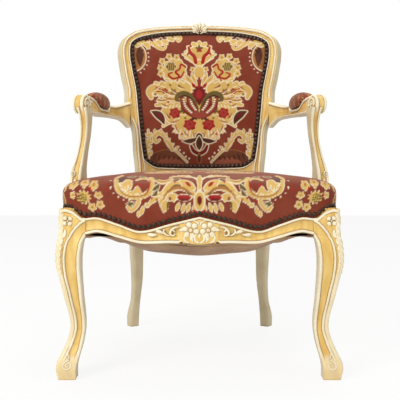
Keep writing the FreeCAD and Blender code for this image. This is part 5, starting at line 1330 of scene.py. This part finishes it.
SEAT_STEM = [
    (IVORY, None, 0, [stroke((0, 196, 3.2), (0, 188, 2.4), (0, 180, 3.2), (0, 172, 1.6)),
        stroke((0, 184, 1.4), (6, 176.6, 1.4), (14, 173, 1.1))]),
    (GILT, None, 0, [stroke((0, 188, 1.3), (0, 180, 2.1), (0, 173, 0.9))]),
    (OLIVE, None, 0, [petal((1.6, 175), (7, 170), 1.4)]),
    (GILT, IVORY, 1.3, [blob(0, 201.4, 4.6, 9.4)]),
    (WINE, None, 0, [petal((0, 206), (0, 196.5), 2.6)]),
    (RED, None, 0, [petal((7, 211), (1.5, 213.5), 1.5)]),
    *[(AMBER, None, 0, [stroke(*stations)]) for stations in ([(6, 195, 0.5), (14, 189.4, 0.9),
        (25, 188.6, 0.9), (33, 193.4, 0.8), (36, 200, 0.5)], [(49.6, 188, 0.4), (54, 194.6, 0.9),
        (63, 197.8, 0.9), (73, 196, 0.8), (81, 188, 0.4)], [(31, 182, 0.3), (38, 184, 0.6),
        (45, 180, 0.3)])],
    *[(OLIVE, IVORY, 0.6, [petal((a, b), (c, d), 1.8, 0.12)])
        for a, b, c, d in ((40, 186, 47, 190), (42, 190, 48, 197), (55, 175, 62, 172),
        (66, 172, 74, 175), (20, 179, 27, 182), (66, 203, 74, 205))],
    *[(RED, None, 0, [blob(a, b, 1.6, 1.5, 4, 0.4)]) for a, b in ((43, 200.6), (48, 199), (57, 202),
        (88, 176), (93, 190), (60, 187), (25, 184), (68, 179))],
]

SEAT_CORNER_POD = [
    (GILT, IVORY, 0.5, [blob(117, 198, 7.4, 7.6, 11, 0.3)]),
    (OLIVE, None, 0, [blob(118.4, 199, 5.4, 5.8, 7, 0.15)]),
    *[(GILT, None, 0, [stroke((114.6 + 2.2 * k, 194, 0.3), (113.6 + 2.2 * k, 204, 0.3)),
        stroke((113, 195.4 + 2.4 * k, 0.3), (123.4, 194.4 + 2.4 * k, 0.3))]) for k in range(4)],
    *[row for a, b in ((106.4, 186.6), (101.8, 196), (101.4, 206), (116, 184.6), (127, 185.4),
        (110, 208.6), (129, 196)) for row in star(a, b, 4.2)],
    (RED, None, 0, [blob(124.6, 196.6, 1.9, 1.9), blob(110, 189.6, 1.5, 1.7)]),
]

BACK_FIGURE = (BACK_SIDE_MEDALLIONS, BACK_TOP_SPRAYS, BACK_LOWER_SPRAYS, BACK_TOP_FLOWER,
    BACK_SIDE_FLOWERS, BACK_PETALS, BACK_UPPER_WINGS, BACK_LOWER_WINGS, BACK_PALMETTE, BACK_FOOT)

SEAT_FIGURE = (SEAT_BIG_SCROLL, SEAT_UPPER_CURL, SEAT_CENTRE_SCROLLS, SEAT_SMALL_LEAVES, SEAT_STEM,
    SEAT_CORNER_POD)


def dyed(clay_paint, cloth):
    clay_paint[..., :3] = cloth.colour.reshape(clay_paint.shape[:-1] + (3,))
    clay_paint[..., 3] = cloth.pile.reshape(clay_paint.shape[:-1])
    return clay_paint


# Seat

def seat_outline(count):
    """Plan outline of the cover and its outward directions, evenly spread, starting at the rear middle."""
    inset, radius, rear_radius = SKIRT_INSET, 40 - 0.35 * SKIRT_INSET, 24.0
    fx = SEAT_HALF_FRONT - 2 - inset - radius
    front = float(rail_front(fx)) - inset
    rear = SEAT_REAR - inset
    rx = float(side_face(rear - rear_radius)) - inset
    xs = np.linspace(0, fx, 120)
    line = [np.column_stack([xs, -(rail_front(xs) - inset)])]
    turn = np.linspace(-np.pi / 2, 0, 30)[1:]
    line.append(np.column_stack([fx + radius * np.cos(turn), -front + radius + radius * np.sin(turn)]))
    ys = np.linspace(radius - front, rear - rear_radius, 160)[1:]
    line.append(np.column_stack([side_face(ys) - inset, ys]))
    turn = np.linspace(0, np.pi / 2, 20)[1:]
    line.append(np.column_stack([rx - rear_radius + rear_radius * np.cos(turn),
        rear - rear_radius + rear_radius * np.sin(turn)]))
    xs = np.linspace(rx - rear_radius, 0, 60)[1:]
    line.append(np.column_stack([xs, rear + 6 * (1 - (xs / (rx - rear_radius)) ** 2)]))
    half = np.vstack(line)
    loop = np.vstack([half, (half * (-1, 1))[::-1][1:-1]])
    loop = np.vstack([loop, loop[:1]])
    run = np.concatenate([[0], np.cumsum(np.linalg.norm(np.diff(loop, axis=0), axis=1))])
    at = np.linspace(0, run[-1], count, endpoint=False)
    points = np.column_stack([np.interp(at, run, loop[:, k]) for k in (0, 1)])
    along = np.roll(points, -1, axis=0) - np.roll(points, 1, axis=0)
    return points, unit(np.column_stack([along[:, 1], -along[:, 0]])), at


# How the figure lies on the seat, in mm to a pixel of the photograph: true to it in front, drawn out
# where it is hidden
SEAT_SCALE, TOP_SCALE, SIDE_SCALE, SIDE_ACROSS = 2.24, 4.9, 3.4, 2.0
HEM_ROW = 209.5             # the photograph's row of the cover's lower edge
FACE_HEIGHT = 50            # cloth above the hem that the photograph shows, in mm
SIDE_MIDDLE_Y = -30         # where the side's figure mirrors
# The back's bouquet, laid on the middle of the seat: mm to a pixel, a row of it with its place, and its
# patch
BOUQUET_ACROSS, BOUQUET_ALONG = 2.5, 2.7
BOUQUET_ROW, BOUQUET_Y = 66, -215
BOUQUET_FRONT, BOUQUET_HALF = -168, 150


def seat_row(up, further):
    """The figure's row at a height above the hem; past the face that the photograph shows, `further` mm
    to a row."""
    rise = np.where(up < FACE_HEIGHT, up / SEAT_SCALE, FACE_HEIGHT / SEAT_SCALE
        + (up - FACE_HEIGHT) / further)
    return HEM_ROW - rise


def build_seat():
    outline, outward, run = seat_outline(960)
    if np.einsum("ij,ij->", outward, outline - (0, SEAT_MIDDLE_Y)) < 0:
        outward = -outward
    middle = np.array([0, SEAT_MIDDLE_Y])
    front_like = np.abs(outward[:, 1]) > np.abs(outward[:, 0])
    hem = np.where((outline[:, 1] < -226) & front_like | (outline[:, 1] < -226)
                   & (np.abs(outline[:, 0]) < 300), edge_front(outline[:, 0]),
                   edge_side(outline[:, 1])) + 0.5
    hem = np.where(outline[:, 1] > REAR_FACE - 6, RAIL_TOP + 2, hem)
    hem = np.convolve(np.r_[hem[-3:], hem, hem[:3]], np.ones(7) / 7, "valid")
    rows, charts = [], []
    start = 412.0
    for t in np.linspace(0, 1, 26):
        z = hem + (start - hem) * t
        tuck = 1.6 * np.exp(-((z - hem) / 6.0) ** 2)
        swell = 3.4 * np.sin(np.pi * np.clip((z - hem) / (452 - hem), 0, 1)) ** 1.2
        ripple = 0.5 * np.exp(-((z - hem - 12) / 9) ** 2) * np.cos(2 * np.pi * run / 11.6)
        plan = outline + outward * (swell - tuck + ripple)[:, None]
        rows.append(np.column_stack([plan, z]))
        charts.append(outline + outward * (SEAT_EDGE - z)[:, None])
    dome = refine([(0, 412), (0, 422), (2.2, 431), (9, 438.6), (24, 444.6), (60, 451.6), (120, 457.9),
        (190, 461.2), (262, 462)], 2.4, [0, 1])
    travel = np.concatenate([[0], np.cumsum(np.linalg.norm(np.diff(dome, axis=0), axis=1))])
    top = rows[-1][:, :2]
    for (inset, z), gone in zip(dome[1:], travel[1:]):
        flat = middle + (outline - middle) * (1 - inset / SEAT_REACH)
        fade = min(1.0, gone / 30)
        plan = flat + (top - outline) * (1 - fade * fade * (3 - 2 * fade))
        lump = 0.7 * np.sin(plan[:, 0] / 37.0 + 1.0) * np.sin(plan[:, 1] / 43.0 + 0.4) * min(1.0, gone / 60)
        rows.append(np.column_stack([plan, z + lump]))
        charts.append(flat + outward * max(0.0, SEAT_EDGE - z) * min(1.0, max(0.0, 1 - gone / 30)))
    inner = rows[0].copy()
    inner[:, :2] = middle + (inner[:, :2] - middle) * (1 - 7 / SEAT_REACH)
    base = inner.copy()
    base[:, 2] = RAIL_TOP + 3
    rows, charts = np.array([base, inner] + rows), np.array([charts[0], charts[0]] + charts)
    ux, uy = charts[..., 0].ravel(), charts[..., 1].ravel()
    half = np.abs(ux)
    front_line = -(rail_front(np.minimum(half, 286.0)) - SKIRT_INSET)
    up = (SEAT_EDGE - RAIL_TOP) + (uy - front_line)
    cloth = Figure(half / SEAT_SCALE, seat_row(up, TOP_SCALE))
    draw(cloth, *SEAT_FIGURE)
    middle_part = Figure(half / BOUQUET_ACROSS, BOUQUET_ROW + (uy - BOUQUET_Y) / BOUQUET_ALONG)
    middle_part.colour, middle_part.pile = cloth.colour.copy(), cloth.pile.copy()
    draw(middle_part, *BACK_FIGURE)
    blend = np.clip((uy - BOUQUET_FRONT) / 4, 0, 1) * np.clip((BOUQUET_HALF - half) / 4, 0, 1)
    cloth.colour = cloth.colour * (1 - blend[:, None]) + middle_part.colour * blend[:, None]
    cloth.pile = cloth.pile * (1 - blend) + middle_part.pile * blend
    side_line = side_face(np.clip(uy, -246, 190)) - SKIRT_INSET
    up_side = (SEAT_EDGE - RAIL_TOP) + (side_line - half)
    sides = Figure(np.abs(uy - SIDE_MIDDLE_Y) / SIDE_ACROSS, seat_row(up_side, SIDE_SCALE))
    draw(sides, *SEAT_FIGURE)
    blend = np.clip((up - up_side) / 5, 0, 1) * np.clip((100 - up_side) / 6, 0, 1)
    cloth.colour = cloth.colour * (1 - blend[:, None]) + sides.colour * blend[:, None]
    cloth.pile = cloth.pile * (1 - blend) + sides.pile * blend
    clay = Clay()
    clay.loft(rows, dyed(np.ones(rows.shape[:2] + (4,)), cloth))
    seat = clay.piece("seat", velvet, "velvet", ("seat_cover", "seat_stuffing", "seat_hessian"), crease=70)


# Back

def back_opening(v):
    climb = (np.asarray(v, float) - LOWER_RAIL_TOP) / LOWER_CORNER_RISE
    corner = LOWER_CORNER_START + (1 - LOWER_CORNER_START) * np.sqrt(np.clip(climb, 0, 1))
    stile = smooth(OPENING, v)
    return np.where(climb >= 1, stile, np.minimum(stile, (STILE_AT_SEAT + 4) * corner))


def back_ring(margin, count):
    """Closed outline (u, v) of the back's opening, evenly spread."""
    v = np.concatenate([np.linspace(LOWER_RAIL_TOP + 0.5, 96, 60), np.linspace(98, 420, 120),
        np.linspace(421, 477, 80)])
    right = np.column_stack([back_opening(v), v])
    bottom = np.column_stack([np.linspace(0, 112, 40), np.full(40, LOWER_RAIL_TOP + 0.5)])
    roof = np.column_stack([np.linspace(20, 0, 8), np.full(8, 478.0)])
    half = np.vstack([bottom, right, roof])
    loop = np.vstack([half, (half * (-1, 1))[::-1]])
    run = np.concatenate([[0], np.cumsum(np.linalg.norm(np.diff(loop, axis=0), axis=1))])
    keep = np.concatenate([[True], np.diff(run) > 1e-6])
    at = np.linspace(0, run[-1], count, endpoint=False)
    points = np.column_stack([np.interp(at, run[keep], loop[keep, k]) for k in (0, 1)])
    along = np.roll(points, -2, axis=0) - np.roll(points, 2, axis=0)
    return points - unit(np.column_stack([along[:, 1], -along[:, 0]])) * margin, at


def pad_swell(u, v, border):
    swell = np.full(np.shape(u), BACK_CROWN)
    for room in (back_opening(v) - np.abs(u), smooth(CREST_EDGE, np.abs(u)) - v, v - lower_rail_top(u)):
        share = np.clip((room - border) / BACK_SWELL_RUN, 0, 1)
        swell = swell * (1 - (1 - share) ** 3)
    return swell


def layer_rows(margin, rear, front, border, count, step):
    """Rings of a layer over the back's opening: its rear face, its edge and its front face in to the
    middle."""
    edge, run = back_ring(margin, count)
    centre = np.array([0.0, 275.0])
    reach = 205.0
    shares = np.concatenate([[1.0, 1.0], np.arange(1, int(reach / step)) * -step / reach + 1])
    rows, places = [], []
    behind = [0.02, 0.5, 0.98] if border else list(shares[:1:-1])
    ahead = shares if border else [1.0, 1.0, 0.5, 0.02]
    for k, share in enumerate([*behind, *ahead], -len(behind)):
        plan = centre + (edge - centre) * share
        if k < 0:
            w = np.full(len(plan), rear)
        elif k == 0:
            w = np.full(len(plan), rear + 0.2)
        else:
            w = np.full(len(plan), front) - (0.4 if k == 1 else 0)
            if border:
                w = w + pad_swell(plan[:, 0], plan[:, 1], border + margin)
                room = (1 - share) * reach
                w = w + 0.9 * np.exp(-((room - 15) / 5) ** 2) * (0.6 + 0.4 * np.cos(2 * np.pi * run / 12.2))
        rows.append(back_point(plan[:, 0], plan[:, 1], w))
        places.append(plan)
    return np.array(rows), np.array(places)


def photo_place(points):
    """Where points of the chair fall in the photograph, in pixels across and down."""
    scale = (points[..., 1] - EYE_Y) / FOCAL_PIXELS
    return AXIS_PIXEL + points[..., 0] / scale, HORIZON_PIXEL - (points[..., 2] - EYE_Z) / scale


def build_back():
    floor = 0.6 - BACK_REBATE_DEPTH + 1
    rows, places = layer_rows(3 * CLEAR, floor - 1.0, floor + 2.4, NAIL_HEAD + 1, 900, 1.7)
    across, down = photo_place(rows)
    cloth = Figure(np.abs(across - FIGURE_AXIS).ravel(), down.ravel())
    draw(cloth, *BACK_FIGURE)
    # Painted shade: within 13.5 mm of the frame, under and between the nail heads, the pad's colour is
    # darkened to a dark brown band
    room = np.minimum(back_opening(places[..., 1]) - np.abs(places[..., 0]), np.minimum(
        smooth(CREST_EDGE, np.abs(places[..., 0])) - places[..., 1],
        places[..., 1] - lower_rail_top(places[..., 0]))).ravel()
    border = np.clip((13.5 - room) / 2, 0, 1)
    cloth.colour = cloth.colour * (1 - border[:, None]) + np.array(srgb(52, 26, 22)) * border[:, None]
    clay = Clay()
    clay.loft(rows, dyed(np.ones(rows.shape[:2] + (4,)), cloth))
    pad = clay.piece("back_pad", velvet, "velvet", ("back_pad", "back_canvas"), crease=70)
    rows, places = layer_rows(3.0, -BACK_THICKNESS - CLEAR - 1.8, -BACK_THICKNESS - CLEAR, 0, 700, 2.6)
    across, down = photo_place(rows)
    cloth = Figure(np.abs(across - FIGURE_AXIS).ravel(), down.ravel())
    draw(cloth, *BACK_FIGURE)
    clay = Clay()
    clay.loft(rows, dyed(np.ones(rows.shape[:2] + (4,)), cloth))
    outside = clay.piece("back_outside_cloth", velvet, "velvet", ("back_outside_cloth",), crease=70)


# Arm pads

def build_arm_pads():
    clay = Clay()
    arch = refine([(-0.6, -0.02), (-0.96, 0.04), (-1.04, 0.35), (-0.86, 0.72), (-0.5, 0.93), (0, 1.0),
                   (0.5, 0.93), (0.86, 0.72), (1.04, 0.35),
                   (0.96, 0.04), (0.6, -0.02)], 0.07, [0, 1])
    rows, ups = [], []
    for t in np.linspace(0, 1, 110):
        y = PAD_REAR + (PAD_FRONT - PAD_REAR) * t
        inner = float(smooth([(-66, 241), (0, 241.5), (60, 244), (130, 253)], -y))
        fullness = (1 - abs(2 * t - 1) ** 2.6) ** 0.5
        half = 12 + (PAD_WIDTH / 2 - 12) * fullness
        base = float(smooth([(0, 635), (0.12, 627), (0.3, 622), (0.7, 622), (0.88, 628), (1, 639)],
            t)) + 0.6
        top = max(base + 5, 642 + (PAD_TOP - 642) * fullness)
        rows.append(np.column_stack([inner + 16 + arch[:, 0] * (half - 1), np.full(len(arch), y),
            base + arch[:, 1] * (top - base)]))
        ups.append(np.column_stack([arch[:, 0] * half, np.full(len(arch), y)]))
    rows, ups = np.array(rows), np.array(ups)
    cloth = Figure(np.abs(ups[..., 0]).ravel(), ups[..., 1].ravel())
    for y in (-104.0, -48.0, 8.0):
        draw(cloth, [
            (AMBER, ROSE, 1.0, frond([(0, y - 20), (3, y), (1, y + 20)], 8, 6, 1)),
            (AMBER, ROSE, 0.6, [stroke((8, y + 26, 0.8), (17, y + 18, 1.4), (19, y + 2, 1.4),
                (12, y - 4, 0.8))]),
            (RED, ROSE, 1.0, [blob(0, y + 24, 5, 7, 5, 0.3)]),
            (BROWN, GILT, 1.0, [blob(20, y - 18, 4, 5)]),
        ])
    clay.loft(rows, dyed(np.ones(rows.shape[:2] + (4,)), cloth))
    for pad in clay.pair("arm_pad", velvet, "velvet", "arm_pad", crease=70):
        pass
    gimp = Clay()
    for t in np.linspace(0.04, 0.96, 20):
        i = int(t * (len(rows) - 1))
        for edge, out in ((2, -1), (-3, 1)):
            at = rows[i][edge] + (out * -1.2, 0, 3.0)
            turn = np.linspace(0, 2 * np.pi, 12, endpoint=False)
            ring = [at + np.column_stack([np.full(12, out * 3.2 * h), np.cos(turn) * 4.4 * r,
                np.sin(turn) * 4.4 * r])
                    for r, h in ((0.96, -0.9), (1.0, 0.2), (0.85, 0.65), (0.5, 0.92), (0.08, 1.0))]
            gimp.loft(np.array(ring), CREAM)
    for side, flip in (("_right", False), ("_left", True)):
        gimp.piece("arm_nails" + side, bronze, "nail_bronze", (), flip, crease=60)


# Under the seat

def under_edge(x, y):
    """Height at which the cloth under the seat meets the rails, blended from all round."""
    front = smooth(RAIL_LOWS, np.abs(x)) - 1.5
    side = smooth(SIDE_LOWS, np.clip(side_share(y), 0, 1)) - 1.5
    t = np.clip((y + 250) / 462, 0, 1)
    s = np.clip(np.abs(x) / (side_face(y) - 12), 0, 1)
    span = (1 - t) * front + t * 300.0
    corner = (1 - t) * 322.0 + t * 300.0
    return span + (side - corner) * s ** 2 * np.clip(t / 0.14, 0, 1)


def build_bottom_cloth():
    clay = Clay()
    rows = []
    for t in np.linspace(0, 1, 90):
        y = -276 + (SEAT_REAR + 16 + 276) * t
        half = float(side_face(y)) - 12 - 34 * (1 - min(1, t / 0.09)) ** 2 - 30 * (1
            - min(1, (1 - t) / 0.06)) ** 2
        x = np.linspace(-half, half, 90)
        reach = min(1.0, max(0.0, (y + 250) / 462))
        depth = 1 + 44 * (1 - abs(2 * reach - 1) ** 2.4)
        bow = 10 * t ** 6 * (1 - (x / half) ** 2)
        z = under_edge(x, y) - depth * (1 - (x / half) ** 2) - 8 * np.sin(np.pi * reach) * (1
            - (x / half) ** 2)
        z = z + 0.6 * np.sin(x / 23) * np.sin(y / 31)
        z = z - 8 * np.clip((np.abs(x) - 165) / 25, 0, 1) * min(1.0, max(0.0, (y + 254) / 5)) * min(1.0,
            max(0.0, (-150 - y) / 40))
        upper = np.column_stack([x, y + bow, z])
        rows.append(np.vstack([upper, (upper - (0, 0, 1.4))[::-1]]))
    clay.loft(np.array(rows), PLAIN)
    cloth = clay.piece("bottom_cloth", canvas, "canvas", ("bottom_cloth",), crease=50)


def build_webbing():
    clay = Clay()

    def strap(start, end, height):
        run = np.array(end, float) - np.array(start, float)
        side = np.array([-run[1], run[0]]) / np.hypot(*run) * 27.5
        rows = []
        for t in np.linspace(0, 1, 30):
            x, y = np.array(start) + run * t
            share = 2 * (y + 286) / 496 - 1
            z = float(under_edge(x, y)) + height - 34 * max(0,
                1 - (x / (float(side_face(y)) - 16)) ** 2) * max(0, 1 - share ** 2)
            offsets = np.linspace(-1, 1, 13)
            low = np.column_stack([x + side[0] * offsets, y + side[1] * offsets, np.full(13, z)])
            rows.append(np.vstack([low, (low + (0, 0, 2))[::-1]]))
        clay.loft(np.array(rows), PLAIN)

    low = 2.5
    for k in (-2, -1, 0, 1, 2):
        strap((k * 100.0, -float(rail_front(k * 100.0)) + 18), (k * 66.0, SEAT_REAR + 16 - 3.4 * k * k),
            low)
    for y in (-205.0, -120.0, -35.0, 50.0, 135.0):
        x = float(side_face(y)) - 16
        strap((-x, y), (x, y), low + 2.8)
    clay.piece("seat_webbing", jute, "webbing", ("seat_webbing",), crease=50)


build_seat()
build_back()
build_arm_pads()
build_bottom_cloth()
build_webbing()


# Light, floor and camera

def area_light(name, place, aim, size, power, colour=(1, 1, 1)):
    lamp = bpy.data.lights.new(name, "AREA")
    lamp.shape, lamp.size, lamp.energy, lamp.color = "DISK", size, power, colour
    obj = bpy.data.objects.new(name, lamp)
    obj.location = place
    direction = np.array(aim) - np.array(place)
    obj.rotation_euler = (math.atan2(math.hypot(direction[0], direction[1]), -direction[2]), 0,
                          math.atan2(direction[1], direction[0]) - math.pi / 2)
    bpy.context.scene.collection.objects.link(obj)


def studio():
    mesh = bpy.data.meshes.new("floor")
    mesh.from_pydata([(-4, -4, 0), (4, -4, 0), (4, 4, 0), (-4, 4, 0)], [], [(0, 1, 2, 3)])
    floor = bpy.data.objects.new("floor", mesh)
    bpy.context.scene.collection.objects.link(floor)
    g = Graph("floor")
    g.shader.inputs["Base Color"].default_value = (0.9, 0.9, 0.9, 1)
    g.shader.inputs["Roughness"].default_value = 0.9
    glow = g.nodes.new("ShaderNodeEmission")
    mix, path = g.nodes.new("ShaderNodeMixShader"), g.nodes.new("ShaderNodeLightPath")
    g.links.new(path.outputs["Is Camera Ray"], mix.inputs[0])
    g.links.new(g.shader.outputs[0], mix.inputs[1])
    both = g.nodes.new("ShaderNodeMixShader")
    both.inputs[0].default_value = 0.86
    g.links.new(g.shader.outputs[0], both.inputs[1])
    g.links.new(glow.outputs[0], both.inputs[2])
    glow.inputs["Strength"].default_value = 1.0
    g.links.new(both.outputs[0], mix.inputs[2])
    output = [n for n in g.nodes if n.type == "OUTPUT_MATERIAL"][0]
    g.links.new(mix.outputs[0], output.inputs["Surface"])
    mesh.materials.append(g.material)
    world = bpy.data.worlds.new("studio")
    bpy.context.scene.world = world
    world.use_nodes = True
    nodes, links = world.node_tree.nodes, world.node_tree.links
    back = nodes["Background"]
    path = nodes.new("ShaderNodeLightPath")
    seen = nodes.new("ShaderNodeMath")
    seen.operation = "MAXIMUM"
    links.new(path.outputs["Is Camera Ray"], seen.inputs[0])
    links.new(path.outputs["Is Glossy Ray"], seen.inputs[1])
    level = nodes.new("ShaderNodeMapRange")
    level.inputs["To Min"].default_value, level.inputs["To Max"].default_value = 0.50, 1.0
    links.new(seen.outputs[0], level.inputs["Value"])
    links.new(level.outputs["Result"], back.inputs["Strength"])
    back.inputs["Color"].default_value = (1, 1, 1, 1)
    area_light("key", (-1.7, -2.3, 2.1), (0, 0, 0.5), 1.6, 62, (1.0, 0.985, 0.95))
    area_light("fill", (2.2, -1.6, 1.3), (0, 0, 0.5), 2.0, 14)
    area_light("top", (0.2, 0.5, 2.8), (0, 0, 0.5), 1.6, 22)


def camera():
    """The photograph's view: level, in front of the chair, with the frame shifted down to take it in."""
    sensor = 36.0
    data = bpy.data.cameras.new("camera")
    data.sensor_width = sensor
    data.lens = sensor * FOCAL_PIXELS / FRAME_PIXELS
    data.shift_x = (FRAME_PIXELS / 2 - AXIS_PIXEL) / FRAME_PIXELS
    data.shift_y = (HORIZON_PIXEL - FRAME_PIXELS / 2) / FRAME_PIXELS
    obj = bpy.data.objects.new("camera", data)
    obj.location = (0, (EYE_Y + SHIFT_Y) * MM, EYE_Z * MM)
    obj.rotation_euler = (math.pi / 2, 0, 0)
    bpy.context.scene.collection.objects.link(obj)
    bpy.context.scene.camera = obj


studio()
camera()
bpy.context.scene.view_settings.view_transform = "Standard"
